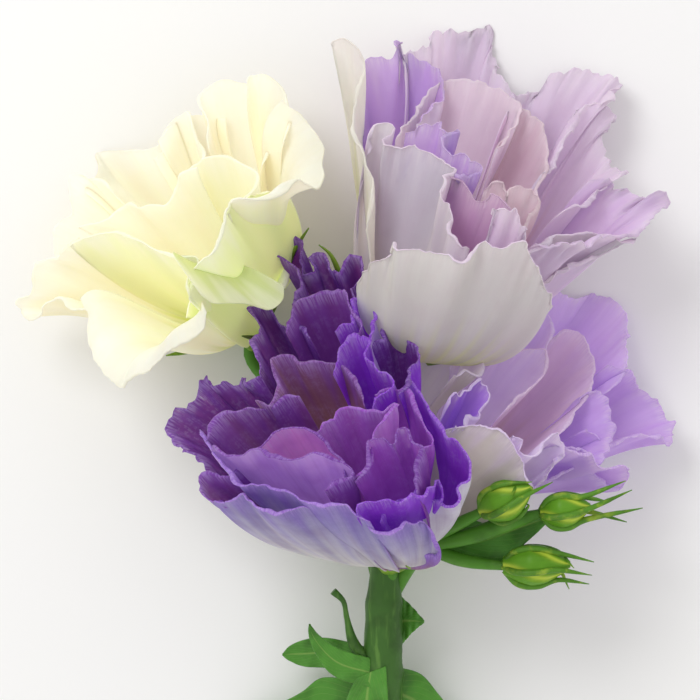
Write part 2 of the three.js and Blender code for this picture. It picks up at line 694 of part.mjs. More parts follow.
const lavender = {
  base: [22.5, -38.8, 10],
  lean: [29, 30, 29],
  petals: [
    // back petal
    {
      cup: SPREADING,
      heights: [22, 12, 4, 0, 0, 3, 8, 14, 20],
      rim: [[45, 5], [47.5, 10], [50, 13.8], [52.5, 14], [55.5, 12.8], [58.8, 13.3], [60.5, 14.3],
        [62.5, 13.5], [66.3, 11.8], [68.3, 10], [68.8, 7.5], [68.5, 2.5], [69, 0], [68.8, -5], [65, -10]],
    },
    // long petal on the right
    {
      cup: SPREADING,
      heights: [18, 14, 10, 9, 12, 18, 26, 34],
      rim: [[64, -3.8], [68.8, -5], [71.5, -8.8], [72, -10], [75, -11.3], [77.8, -15], [80.5, -18.8],
        [80.8, -20.5], [79.5, -22.5], [76.3, -21.8], [72.5, -21.3], [64.8, -22.5], [59, -20]],
    },
    // petal above the throat
    {
      cup: SPREADING,
      heights: [32, 26, 20, 15, 15, 22],
      rim: [[25, -4.5], [30, -1], [35, 1], [41.3, 3.5], [46.3, 8], [48.8, 9.5], [49.5, 6], [49, 0]],
    },
    // inner petal on the right
    {
      cup: INNER,
      heights: [16, 16, 22, 32, 44],
      rim: [[50, 3], [54, 4.5], [57.5, 3.8], [59.5, 0], [60.5, -5], [60, -8.8], [58.3, -12.5], [55.5, -16.3],
        [52.5, -20], [49.5, -22.5]],
    },
    // inner petal over the throat
    {
      cup: INNER,
      heights: [28, 25, 27, 34, 44],
      rim: [[35, -3], [43.8, 0], [48.8, 0], [49.3, -3.8], [47.5, -7.5], [42.5, -12], [38.8, -15]],
    },
    // left wall of the cup
    {
      cup: CUPPED,
      heights: [34, 30, 28, 28, 32, 36, 40],
      rim: [[15.5, -14], [15.8, -7.5], [17, -3.5], [19, -2.5], [24, -2.5], [28, -2], [32, -2.5], [33.5, -4],
        [30, -6.5], [26, -6.5]],
    },
    // curl at the left of the throat
    {
      cup: INNER,
      heights: [48, 44, 44, 48, 54],
      rim: [[25.5, -13], [25, -10.5], [28.8, -9.3], [32, -7], [34, -10], [34, -13], [32, -17.5], [30, -19],
        [26.3, -18.8]],
    },
    // lower petal on the right
    {
      cup: SPREADING,
      heights: [28, 28, 30, 36, 42, 48],
      rim: [[57, -13.5], [60, -11.3], [62.5, -10.5], [64.5, -15], [65.5, -20], [64.5, -25], [62, -27],
        [60, -26.3], [56.3, -25], [51.8, -23.8]],
    },
    // lowest outer petal, with a turned tab
    {
      cup: STRAIGHT,
      heights: [52, 46, 40, 34, 32, 36, 40, 46],
      rim: [[50, -24], [56.3, -25.5], [60, -26.3], [62.5, -28.8], [65.5, -29.3], [68.8, -28.3],
        [69.3, -31.3], [67.5, -33.8], [64.5, -34.3], [62.5, -32], [60, -30.8], [56.3, -30], [50.5, -32.5],
        [45.8, -35]],
    },
    // frill at the front
    {
      cup: UPRIGHT,
      heights: [54, 56, 56, 54, 50, 46],
      rim: [[39.5, -24], [40.5, -21.8], [42.3, -22], [43.8, -25.3], [47, -24.8], [50.3, -21.8],
        [52.8, -22.8], [53.5, -26], [51, -30], [47, -33]],
    },
    // outer front petal
    {
      cup: CUPPED,
      heights: [42, 52, 58, 60, 58, 54, 48],
      rim: [[19, -22], [22.5, -21], [26.3, -19.5], [31.3, -19.3], [36.3, -20], [38.8, -21.3], [41.3, -24.3],
        [43, -27.5], [43.8, -31.3], [45, -34.3], [42.5, -36.3]],
    },
  ],
};

// The main stem down to its cut end, then the stalks of the blooms and of the buds, as [x, y, height, radius].
const stemRods = [
  [[8.8, -54, 20, 3.6], [8.6, -60, 19, 4], [8.4, -68, 18, 4.6], [8.2, -80, 15.5, 4.8], [8.4, -106, 10, 4.8],
    [8, -157, 4.3, 4.8]],
  [[-24, 3.8, 7.5, 1.9], [-24.5, -1.5, 7, 2], [-20, -8, 7, 2], [-9, -24, 9, 2], [4, -46, 13.5, 2.2],
    [7.4, -57, 16, 2.3], [8.2, -67, 17, 2.6]],
  [[15.2, -4.2, 17.5, 1.7], [14.5, -15, 13.5, 1.8], [11.5, -34, 14, 2], [9, -54, 18, 2.6], [9, -66, 18, 2.8]],
  [[19.5, -42, 7, 1.7], [14.5, -48.5, 9, 1.8], [10.6, -57, 14, 2.1], [9, -68, 16.5, 2.6]],
  [[10.5, -52, 23, 1.9], [9.5, -58, 20.5, 2.2], [9, -66, 18.2, 2.6]],
  [[9.3, -63, 17, 2], [14.2, -54.8, 20.5, 1.9], [21, -47, 36, 1.7], [28, -43, 44, 1.5],
    [33.5, -40.2, 47.3, 1.1]],
  [[20, -48.5, 34, 1.8], [30, -46.5, 42, 2], [39, -43.5, 44.5, 2], [48, -40.7, 45, 1.1]],
  [[19, -49, 33, 1.7], [28, -52.5, 37, 1.7], [38.7, -54, 39, 1.1]],
];
// The cut end of a side shoot, bent round.
const stub = [[5.5, -79, 16.5, 1.7], [1, -73.5, 18.5, 1.4], [-0.8, -67, 20, 0.7], [-1.7, -62.8, 21, 0.65],
  [-4.2, -60.3, 21.5, 0.95]];

// Bud: where its stalk ends, where its tip is, its thickness, and where its awl-shaped lobes end.
const buds = {
  bud_round: {
    from: [33, -40.5, 47],
    to: [45.5, -34, 55],
    radius: 5.2,
    awls: [[45.5, -33, 56], [50.7, -33, 52], [44, -38.5, 52], [38, -33.5, 50], [40, -37, 58]],
  },
  bud_side: {
    from: [47.5, -40.8, 45],
    to: [60.5, -39, 47],
    radius: 4.4,
    awls: [[69, -32.7, 50], [70.5, -35, 47], [73.2, -39.5, 46], [69.2, -43, 44], [65, -38, 42]],
  },
  bud_low: {
    from: [38, -54, 39],
    to: [55.5, -53.5, 41],
    radius: 5.2,
    awls: [[61, -53, 42], [60.5, -56.3, 40], [59.8, -58.5, 38], [54.8, -59.8, 36], [56, -54.5, 45]],
  },
};

// Blades: left edge and right edge from the foot to the tip, as seen from above with their heights.
const blades = {
  bract: {
    left: [[18.5, -45, 30], [25, -43, 35], [33, -40.5, 39], [42, -40, 41], [48.5, -41, 42]],
    right: [[18.5, -50, 29], [27, -53.5, 32], [35, -54, 36], [43, -49, 40], [49, -43.5, 42]],
  },
  leaf_left_upper: {
    left: [[5.6, -84.5, 19.8], [-4, -81.5, 21], [-8.5, -76, 23], [-10.3, -71.5, 24], [-10.3, -68.5, 25]],
    right: [[5, -77, 19.8], [-0.5, -75.5, 21], [-4.5, -73.8, 22.5], [-7.5, -71.5, 24], [-10, -68.8, 25]],
  },
  leaf_left_round: {
    left: [[7, -80.5, 16], [-6, -79.5, 13], [-12, -79, 12], [-15.5, -77.5, 12], [-17, -76.3, 12]],
    right: [[7, -75, 17], [-6, -72, 15], [-11.5, -72.5, 14], [-15, -74, 13], [-16.8, -75.8, 12]],
  },
  leaf_low_left: {
    left: [[7, -91, 14], [-8, -99, 7], [-18, -102, 5], [-27, -103, 3.5], [-34, -101, 2.5]],
    right: [[7, -84, 15], [-7, -82, 11], [-12, -85.5, 9], [-22, -91, 6], [-33, -100, 2.5]],
  },
  leaf_right_upper: {
    left: [[11.5, -60.5, 17], [15.3, -64, 17.5], [18.5, -67.6, 18]],
    right: [[11.5, -75.5, 16], [15.2, -71, 17], [18.4, -68.2, 18]],
  },
  leaf_low_right: {
    left: [[10, -79, 15], [17.5, -81, 14], [22, -86, 13], [27, -93, 9], [30.5, -103, 4]],
    right: [[10, -91, 12], [18, -97, 9], [22, -101, 8], [26, -104, 6], [30, -104, 4]],
  },
  leaf_front: {
    left: [[1.5, -82, 20], [-1, -88, 20.5], [-1, -96, 18], [1, -104, 14.5], [4, -109, 12.5]],
    right: [[9, -79, 21], [9.5, -88, 20.5], [9.5, -96, 18], [8, -104, 15], [5, -109, 12.5]],
  },
};

// Each bloom's calyx lobes, from the cup behind it to their tips.
const calyxLobes = {
  cream_calyx: {
    bloom: cream,
    lobes: [
      [[-30, 2.8, 6.5], [-37, 0.8, 7], [-42, -0.6, 8], [-46, -1.4, 9.5]],
      [[-20, 10, 15], [-16.8, 17, 22], [-14.5, 24, 27], [-12, 28, 30], [-10.3, 30.5, 31]],
      [[-22, 3.5, 20], [-24, 3, 30], [-27, 3.5, 36]],
      [[-31, 16, 3], [-34, 24, 2], [-38, 31, 2.5]],
      [[-22, 16, 5], [-22, 26, 6], [-23, 34, 8]],
    ],
  },
  pale_calyx: {
    bloom: pale,
    lobes: [
      [[9, 3, 20], [3, 10, 24], [-2, 18, 27], [-5, 24, 29], [-7.8, 26.3, 30]],
      [[21, -2.5, 27], [26, -2.5, 34], [31, -1.5, 40]],
      [[13, -4, 27], [12, -3, 36]],
      [[12, 10, 10], [12, 20, 8], [13, 30, 6]],
      [[27, 2, 16], [35, 6, 16], [42, 12, 17]],
    ],
  },
  violet_calyx: {
    bloom: violet,
    lobes: [
      [[4, -50.5, 31], [-2, -50.5, 37], [-8, -49, 43]],
      [[14, -53, 35], [15, -54, 43], [14, -54, 50]],
      [[14, -41, 24], [16, -35, 24], [17.5, -30, 25]],
      [[5, -36, 23], [1, -26, 23], [-3, -16, 24]],
      [[-3, -44, 26], [-12, -39, 29], [-19, -34, 33]],
    ],
  },
  lavender_calyx: {
    bloom: lavender,
    lobes: [
      [[25, -43.5, 14], [30, -44, 20], [35, -44, 26]],
      [[18, -38, 19], [17, -33, 26], [17, -27, 32]],
      [[32, -37, 6], [40, -33, 6], [48, -28, 8]],
      [[31, -28, 4], [38, -19, 3], [44, -12, 2]],
      [[22, -28, 10], [24, -19, 14], [26, -12, 18]],
    ],
  },
};

// The main stem and its stalks in one piece.
function stemsSolid(grow) {
  const rods = stemRods.map((path, k) =>
    rod(path, k === 0 ? STEM_SIDES : STALK_SIDES, path.length, grow),
  );
  return wasm.Manifold.union(rods);
}

// The green cup behind a bloom, with its awl-shaped lobes.
function calyxSolid({ bloom, lobes }, grow) {
  const { base, axis } = bloomFrame(bloom.base, bloom.lean);
  const middle = base.clone().addScaledVector(axis, -CALYX_CUP_DROP);
  const cup = egg(middle, axis, CALYX_CUP_RADIUS, CALYX_CUP_HALF_LENGTH, grow);
  const awls = lobes.map((places) => {
    const path = [flattened(middle), ...places];
    const widened = path.map((place, k) => [...place, along(LOBE_WIDTHS, k / (path.length - 1))]);
    return rod(widened, LOBE_SIDES, places.length, grow);
  });
  return wasm.Manifold.union([cup, ...awls]);
}

// A closed bud clasped by its lobes, whose tips stand free of it.
function budSolid({ from, to, radius, awls }, grow) {
  const start = seen(...from);
  const end = seen(...to);
  const length = start.distanceTo(end);
  const axis = end.clone().sub(start).normalize();
  const side = new THREE.Vector3(-axis.y, axis.x, 0).normalize();
  const up = axis.clone().cross(side);
  const profile = [
    new THREE.Vector2(0, -grow),
    ...[[0.7, 0.1], [1, 0.4], [0.75, 0.75]].map(([r, h]) => new THREE.Vector2(r * radius + grow, h * length)),
    new THREE.Vector2(0, length + grow),
  ];
  const turn = new THREE.Quaternion().setFromUnitVectors(new THREE.Vector3(0, 1, 0), axis);
  const body = new THREE.LatheGeometry(profile, BUD_SIDES);
  body.applyQuaternion(turn).translate(start.x, start.y, start.z);
  const lobes = awls.map((tip, k) => {
    const angle = (2 * Math.PI * (k + 0.5)) / awls.length;
    const outwards = side.clone().multiplyScalar(Math.cos(angle)).addScaledVector(up, Math.sin(angle));
    const clasp = [[0.05, 0.2], [0.25, 0.9], [0.5, 1], [0.8, 0.7]].map(([h, r]) => {
      const point = start.clone().addScaledVector(axis, h * length);
      return flattened(point.addScaledVector(outwards, r * radius * AWL_LIFT));
    });
    return rod([...clasp, tip].map((place, j) => [...place, AWL_WIDTHS[j]]), LOBE_SIDES, AWL_STEPS, grow);
  });
  return wasm.Manifold.union([closedSolid(body), ...lobes]);
}

// A leaf between its two edges, hollowed along its midrib.
function bladeSolid({ left, right }, grow) {
  const edges = [left, right].map(
    (edge) => new THREE.CatmullRomCurve3(edge.map((place) => seen(...place))),
  );
  const rows = [];
  for (let j = 0; j <= BLADE_ROWS; j++) {
    const [a, b] = edges.map((edge) => edge.getPoint(j / BLADE_ROWS));
    const row = [];
    for (let i = 0; i <= BLADE_COLUMNS; i++) {
      const t = i / BLADE_COLUMNS;
      const point = a.clone().lerp(b, t);
      point.z -= BLADE_FOLD * a.distanceTo(b) * Math.sin(Math.PI * t);
      row.push(point);
    }
    rows.push(row);
  }
  return sheet(rows, LEAF_THICKNESS, grow);
}

// A named mesh of a solid, in its own colour.
function meshOf(name, solid, { colour, roughness }) {
  const { numProp, vertProperties, triVerts } = solid.getMesh();
  const count = vertProperties.length / numProp;
  const positions = new Float32Array(3 * count);
  for (let k = 0; k < count; k++) {
    positions.set(vertProperties.subarray(k * numProp, k * numProp + 3), 3 * k);
  }
  const geometry = new THREE.BufferGeometry();
  geometry.setAttribute("position", new THREE.BufferAttribute(positions, 3));
  geometry.setIndex(new THREE.BufferAttribute(new Uint32Array(triVerts), 1));
  const material = new THREE.MeshStandardMaterial({ color: colour, roughness, metalness: 0 });
  const mesh = new THREE.Mesh(geometry, material);
  mesh.name = name;
  return mesh;
}

const finishes = {
  violet: { colour: 0x5a2a8c, roughness: 0.6 },
  pale: { colour: 0xcbbcd8, roughness: 0.6 },
  cream: { colour: 0xfbf3d0, roughness: 0.6 },
  lavender: { colour: 0xa98cc8, roughness: 0.6 },
  bud: { colour: 0x7cb035, roughness: 0.5 },
  calyx: { colour: 0x6c9a38, roughness: 0.55 },
  stem: { colour: 0x4a6b38, roughness: 0.55 },
  leaf: { colour: 0x4f8a34, roughness: 0.6 },
};

// Every piece, front to back: each is cut clear of the ones named before it.
const pieces = {
  violet_bloom: { finish: finishes.violet, make: (grow) => bloomSolid(violet, grow) },
  pale_bloom: { finish: finishes.pale, make: (grow) => bloomSolid(pale, grow) },
  cream_bloom: { finish: finishes.cream, make: (grow) => bloomSolid(cream, grow) },
  lavender_bloom: { finish: finishes.lavender, make: (grow) => bloomSolid(lavender, grow) },
};
for (const [name, bud] of Object.entries(buds)) {
  pieces[name] = { finish: finishes.bud, make: (grow) => budSolid(bud, grow) };
}
for (const [name, calyx] of Object.entries(calyxLobes)) {
  pieces[name] = { finish: finishes.calyx, make: (grow) => calyxSolid(calyx, grow) };
}
pieces.stems = { finish: finishes.stem, make: stemsSolid };
for (const [name, blade] of Object.entries(blades)) {
  pieces[name] = { finish: finishes.leaf, make: (grow) => bladeSolid(blade, grow) };
}
pieces.stub = { finish: finishes.stem, make: (grow) => rod(stub, STALK_SIDES, stub.length, grow) };

const spray = new THREE.Group();
spray.position.set(-ORIGIN.x, -ORIGIN.y, 0);
const placed = [];
for (const [name, { finish, make }] of Object.entries(pieces)) {
  let solid = make(0);
  for (const neighbour of placed) {
    if (solid.intersect(neighbour).volume() > 0) solid = solid.subtract(neighbour);
  }
  solid = whole(solid);
  placed.push(make(GAP), solid);
  spray.add(meshOf(name, solid, finish));
}

export default spray;
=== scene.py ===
"""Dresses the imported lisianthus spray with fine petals, calyces, buds, leaves and stems.

The spray lies face up on a pale table. Places on it are given in millimetres across the table, as an
eye one metre above it sees them, each with its own height over the table.
"""

from __future__ import annotations

import logging
import math
from dataclasses import dataclass, field
from enum import Enum
from typing import Iterable, Sequence

import bpy
import numpy as np
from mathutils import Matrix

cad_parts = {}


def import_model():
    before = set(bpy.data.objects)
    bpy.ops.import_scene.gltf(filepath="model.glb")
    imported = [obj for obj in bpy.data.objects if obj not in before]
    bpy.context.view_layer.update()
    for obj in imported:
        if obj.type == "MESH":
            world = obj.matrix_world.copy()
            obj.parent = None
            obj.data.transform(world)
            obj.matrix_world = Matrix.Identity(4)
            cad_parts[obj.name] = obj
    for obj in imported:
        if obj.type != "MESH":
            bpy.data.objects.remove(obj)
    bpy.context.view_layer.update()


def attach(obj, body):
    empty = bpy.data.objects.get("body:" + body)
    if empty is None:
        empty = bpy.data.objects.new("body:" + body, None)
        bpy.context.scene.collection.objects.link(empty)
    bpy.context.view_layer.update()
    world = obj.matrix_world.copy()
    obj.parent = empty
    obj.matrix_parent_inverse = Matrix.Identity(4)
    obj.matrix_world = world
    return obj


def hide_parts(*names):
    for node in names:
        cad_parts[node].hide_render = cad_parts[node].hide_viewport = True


LOG = logging.getLogger("spray")

MM = 0.001
EYE_HEIGHT = 1000.0
ORIGIN = np.array((-0.7, -37.7, 0.0))
SEEN_WIDTH = 175.0
TABLE_CLEARANCE = 0.05
TURN = 2 * math.pi
STEPS_PER_SPAN = 24
MIX_SHARE, MIX_FIRST, MIX_SECOND, MIX_COLOUR = 0, 6, 7, 2


class Rise(Enum):
    """How a petal rises from the throat, as two handles of a curve.

    Each value holds the share of the rim's radius and of its height, for the low handle and the high.
    """

    CUPPED = (0.8, 0.06, 0.96, 0.6)
    UPRIGHT = (0.7, 0.1, 0.95, 0.6)
    SPREADING = (0.7, 0.12, 0.75, 0.85)
    REFLEXED = (0.65, 0.1, 0.6, 1.15)
    HANGING = (0.5, 0.3, 0.35, 1.7)
    INNER = (0.5, 0.15, 0.85, 0.6)
    CURLED = (0.63, 0.15, 0.8, 0.73)
    STRAIGHT = (0.36, 0.3, 0.72, 0.68)


class Wave(Enum):
    """The waves of a petal's skin and rim.

    Each value holds the millimetres from crest to crest, and how far a crest may turn, in radians.
    """

    SWING = (32.0, 0.3)
    SWELL = (24.0, 0.35)
    FOLD = (12.5, 0.3)
    FRILL = (6.0, 0.35)
    CRINKLE = (3.0, 0.5)
    BODY = (14.0, 1.5)
    FRAY = (5.0, 0.1)
    FINE_FRAY = (2.4, 0.1)
    LIP = (17.0, 0.1)


class Tint(Enum):
    """The colours of the living surfaces, as a painter would mix them."""

    IVORY = "f9f2d8"
    IVORY_SHADE = "f6efd0"
    BLUSH_IVORY = "f8f0d6"
    CREAM_BACK = "f1e9c6"
    BUTTER = "efedc6"
    LEMON_GREEN = "ecf0b8"
    LIME_BACK = "eafcaa"
    # A darker greyish green for the outer face of the cream bloom's rolled lip: its lime colour with
    # painted shade.
    SAGE = "bcc884"
    LIME_HEART = "ccd668"
    CREAM_EDGE = "f8f2de"

    LILAC = "d2bad6"
    COOL_LILAC = "c4a8d0"
    BRIGHT_LAVENDER = "aa88cc"
    ROSE_WHITE = "d8bece"
    ROSE_MAUVE = "ceb0bc"
    MAUVE = "ac84ac"
    BLUSH_WHITE = "e0dace"
    SILVER_LILAC = "c2b8c2"
    GREY_WHITE = "c6c3be"
    ROSE_HEART = "ca9c90"
    LEAF_HEART = "ced68a"
    PEARL_EDGE = "e0d4d2"

    DEEP_VIOLET = "4f2070"
    PLUM = "652e80"
    BRIGHT_VIOLET = "7428b8"
    # The violet bloom's frost colour: its frosted speckles, and the painted highlight along its rims.
    FROST_AND_HIGHLIGHT_VIOLET = "a890cc"
    MAGENTA_VIOLET = "8c44aa"
    ORCHID = "a462bc"
    TONGUE = "c878d0"
    FROSTED_TONGUE = "b288d2"
    FROSTED_BLUE = "7266a2"
    BLUE_VIOLET = "8460b4"
    SLATE_VIOLET = "564676"
    SILVER_VIOLET = "bcb8c2"
    OLIVE_HEART = "7c5638"
    GREY_HEART = "c4c2b8"
    VIOLET_EDGE = "7c48b4"

    LAVENDER = "c6a4e4"
    DUSKY_LAVENDER = "b08ed0"
    SOFT_LAVENDER = "c6b0d6"
    MAUVE_LAVENDER = "c4a8c0"
    CURL_VIOLET = "9064c8"
    PEARL_GREY = "aca69e"
    AMBER_HEART = "b0927c"
    LAVENDER_EDGE = "b898dc"

    BUD_GREEN = "5c9022"
    BUD_STRIPE = "bccc48"
    LOBE_GREEN = "578a26"
    CALYX_GREEN = "86a83a"
    STEM_GREEN = "426c2c"
    STALK_GREEN = "528c2a"
    STEM_STREAK = "6a9644"
    LEAF_GREEN = "549434"
    LEAF_RIB = "86ac54"

    @property
    def linear(self) -> np.ndarray:
        """The colour as three linear values from 0 to 1."""
        coded = np.array([int(self.value[k : k + 2], 16) for k in (0, 2, 4)]) / 255
        return np.where(coded <= 0.04045, coded / 12.92, ((coded + 0.055) / 1.055) ** 2.4)

    @property
    def rgba(self) -> tuple[float, float, float, float]:
        """The colour as a shader socket takes it."""
        return self.shaded(1.0)

    def shaded(self, share: float) -> tuple[float, float, float, float]:
        """The colour with only a share of its light, as a shader socket takes it."""
        return (*(share * float(part) for part in self.linear), 1.0)


def smoothstep(low: float, high: float, value: np.ndarray) -> np.ndarray:
    """Rises smoothly from 0 at low to 1 at high."""
    t = np.clip((value - low) / (high - low), 0, 1)
    return t * t * (3 - 2 * t)


def seen(places: np.ndarray) -> np.ndarray:
    """Moves places given as the eye sees them to the part's own frame.

    Args:
        places: Millimetres across the table and over it, with the last axis of length 3.

    Returns:
        The places in metres in the part's frame.
    """
    nearer = 1 - places[..., 2:3] / EYE_HEIGHT
    return (np.concatenate((places[..., :2] * nearer, places[..., 2:3]), axis=-1) - ORIGIN) * MM


def unit(vectors: np.ndarray) -> np.ndarray:
    """Vectors of the same directions and of length 1."""
    return vectors / np.maximum(np.linalg.norm(vectors, axis=-1, keepdims=True), 1e-12)


def curve_through(points: np.ndarray, count: int) -> np.ndarray:
    """A smooth curve through points, at equal steps of its length.

    Args:
        points: The points, one to a row, with any number of columns of which the first three are places.
        count: How many steps to divide the curve in.

    Returns:
        count + 1 points along the curve, with the same columns.
    """
    ends = np.vstack((2 * points[0] - points[1], points, 2 * points[-1] - points[-2]))
    steps = np.maximum(np.linalg.norm(np.diff(ends[:, :3], axis=0), axis=1), 1e-9) ** 0.5
    t = np.linspace(0, 1, STEPS_PER_SPAN, endpoint=False)[:, None]
    pieces = []
    for k in range(1, len(ends) - 2):
        before, span, after = steps[k - 1 : k + 2]
        a, b, c, d = ends[k - 1 : k + 3]
        start = ((b - a) / before - (c - a) / (before + span) + (c - b) / span) * span
        stop = ((c - b) / span - (d - b) / (span + after) + (d - c) / after) * span
        bend = -3 * b + 3 * c - 2 * start - stop
        twist = 2 * b - 2 * c + start + stop
        pieces.append(b + start * t + bend * t**2 + twist * t**3)
    dense = np.vstack((*pieces, points[-1:]))
    length = np.concatenate(((0,), np.cumsum(np.linalg.norm(np.diff(dense[:, :3], axis=0), axis=1))))
    wanted = np.linspace(0, length[-1], count + 1)
    return np.column_stack([np.interp(wanted, length, column) for column in dense.T])


def softened(values: np.ndarray, reach: float) -> np.ndarray:
    """A row of points with its wiggles smoothed away and its ends kept.

    Args:
        values: The points, one to a row.
        reach: How many points the smoothing reaches to each side.

    Returns:
        As many points.
    """
    pad = min(len(values) - 1, int(3 * reach) + 1)
    left = 2 * values[0] - values[pad:0:-1]
    right = 2 * values[-1] - values[-2 : -pad - 2 : -1]
    padded = np.vstack((left, values, right))
    weights = np.exp(-0.5 * (np.arange(-pad, pad + 1) / max(reach, 1e-6)) ** 2)
    weights /= weights.sum()
    return np.column_stack([np.convolve(column, weights, mode="valid") for column in padded.T])


def tapered(path: np.ndarray, steps: int, width: float, taper: Sequence[tuple[float, float]]) -> np.ndarray:
    """A rod along a path that narrows towards its tip.

    Args:
        path: The places that it passes through, in metres.
        steps: How many steps to divide it in.
        width: Its widest radius, in millimetres.
        taper: Shares of its length, each with the share of the radius there.

    Returns:
        Its points in metres, each with the rod's radius there.
    """
    line = curve_through(np.column_stack((path, np.zeros(len(path)))), steps)
    line[:, 3] = width * MM * np.interp(np.linspace(0, 1, len(line)), *zip(*taper))
    return line


def pattern(x: np.ndarray, y: np.ndarray, z: object) -> np.ndarray:
    """Pattern places whose three parts spread over one grid."""
    return np.stack(np.broadcast_arrays(x, y, z), axis=-1).astype(float)


@dataclass
class Skin:
    """A closed surface under construction: its corners, faces, colours and pattern places."""

    corners: list[np.ndarray] = field(default_factory=list)
    faces: list[list[int]] = field(default_factory=list)
    tints: list[np.ndarray] = field(default_factory=list)
    places: list[np.ndarray] = field(default_factory=list)
    count: int = 0

    def add(
        self, corners: np.ndarray, faces: list[list[int]], tints: np.ndarray, places: np.ndarray
    ) -> None:
        """Adds a closed shell, turned to face outwards.

        Args:
            corners: Its points, in metres.
            faces: The corners of each of its faces.
            tints: The linear colour of each point.
            places: The pattern place of each point.
        """
        volume = 0.0
        for size in (3, 4):
            some = np.array([face for face in faces if len(face) == size])
            for k in range(1, size - 1 if len(some) else 0):
                a, b, c = corners[some[:, 0]], corners[some[:, k]], corners[some[:, k + 1]]
                volume += float(np.einsum("ij,ij->", a, np.cross(b, c)))
        turned = -1 if volume < 0 else 1
        self.faces.extend([[corner + self.count for corner in face[::turned]] for face in faces])
        self.corners.append(corners)
        self.tints.append(tints)
        self.places.append(places)
        self.count += len(corners)

    def add_sheet(
        self,
        middle: np.ndarray,
        normals: np.ndarray,
        thickness: np.ndarray,
        tints: tuple[np.ndarray, np.ndarray],
        places: np.ndarray,
    ) -> None:
        """Adds a thin sheet round a grid of points.

        Args:
            middle: The grid, rows by columns, in metres.
            normals: Which way the sheet's first side faces at each point.
            thickness: The sheet's thickness at each point, in metres.
            tints: The colours of the first side and of the second.
            places: The pattern place of each point.
        """
        rows, columns = middle.shape[:2]
        half = normals * thickness[..., None] / 2
        corners = np.concatenate(((middle + half).reshape(-1, 3), (middle - half).reshape(-1, 3)))
        corners[:, 2] = np.maximum(corners[:, 2], TABLE_CLEARANCE * MM)
        index = np.arange(rows * columns).reshape(rows, columns)
        a, b = index[:-1, :-1].ravel(), index[:-1, 1:].ravel()
        d, c = index[1:, :-1].ravel(), index[1:, 1:].ravel()
        first = np.column_stack((a, b, c, d))
        back = rows * columns
        ring = np.concatenate((index[0, :-1], index[:-1, -1], index[-1, :0:-1], index[:0:-1, 0]))
        following = np.roll(ring, -1)
        edge = np.column_stack((ring, ring + back, following + back, following))
        faces = np.concatenate((first, first[:, ::-1] + back, edge))
        both = np.concatenate((tints[0].reshape(-1, 3), tints[1].reshape(-1, 3)))
        twice = np.concatenate((places.reshape(-1, 3), places.reshape(-1, 3)))
        self.add(corners, faces.tolist(), both, twice)

    def add_revolved(
        self, rings: np.ndarray, poles: np.ndarray, tints: np.ndarray, places: np.ndarray
    ) -> None:
        """Adds a shell of rings that closes at a pole on either end.

        Args:
            rings: The rings' points, ring by ring.
            poles: The two points that close it.
            tints: One linear colour, or one for each point of the rings.
            places: One pattern place, or one for each point of the rings.
        """
        rows, sides = rings.shape[:2]
        index = np.arange(rows * sides).reshape(rows, sides)
        following = np.roll(index, -1, axis=1)
        walls = np.stack((index[:-1], following[:-1], following[1:], index[1:]), axis=-1).reshape(-1, 4)
        low, high = rows * sides, rows * sides + 1
        caps = [[low, int(b), int(a)] for a, b in zip(index[0], following[0])]
        caps += [[high, int(a), int(b)] for a, b in zip(index[-1], following[-1])]
        corners = np.concatenate((rings.reshape(-1, 3), poles))
        corners[:, 2] = np.maximum(corners[:, 2], TABLE_CLEARANCE * MM)
        spread = []
        for values in (tints, places):
            full = np.broadcast_to(values, rings.shape)
            spread.append(np.concatenate((full.reshape(-1, 3), full[0, :1], full[-1, :1])))
        self.add(corners, walls.tolist() + caps, spread[0], spread[1])

    def object(self, name: str) -> bpy.types.Object:
        """Makes the surface an object of the scene.

        Args:
            name: What to call the object.

        Returns:
            The new object, at the origin, with its Tint and Place attributes.
        """
        mesh = bpy.data.meshes.new(name)
        corners = np.concatenate(self.corners)
        mesh.from_pydata(corners.tolist(), [], self.faces)
        tint = mesh.attributes.new("Tint", "FLOAT_COLOR", "POINT")
        rgba = np.column_stack((np.concatenate(self.tints), np.ones(len(corners))))
        tint.data.foreach_set("color", rgba.astype(np.float32).ravel())
        place = mesh.attributes.new("Place", "FLOAT_VECTOR", "POINT")
        place.data.foreach_set("vector", np.concatenate(self.places).astype(np.float32).ravel())
        mesh.shade_smooth()
        mesh.update()
        made = bpy.data.objects.new(name, mesh)
        bpy.context.scene.collection.objects.link(made)
        return made


def feed(tree: bpy.types.NodeTree, socket: bpy.types.NodeSocket, value: object) -> None:
    """Links a socket to the one that gives its value, or sets the value itself.

    Args:
        tree: The tree that the socket's node is in.
        socket: The input to feed.
        value: A number, a colour, a Value or an output socket.
    """
    source = value.socket if isinstance(value, Value) else value
    if isinstance(source, bpy.types.NodeSocket):
        tree.links.new(source, socket)
    else:
        socket.default_value = source


def add_node(
    tree: bpy.types.NodeTree, kind: str, settings: dict[str, object], sockets: dict[object, object]
) -> bpy.types.Node:
    """Adds a node to a tree.

    Args:
        tree: The tree of a material or of a modifier.
        kind: The node's type.
        settings: The node's own properties, which are set first.
        sockets: Values or links of its inputs, by socket name or place.

    Returns:
        The new node.
    """
    made = tree.nodes.new(kind)
    for key, value in settings.items():
        setattr(made, key, value)
    for key, value in sockets.items():
        feed(tree, made.inputs[key], value)
    return made


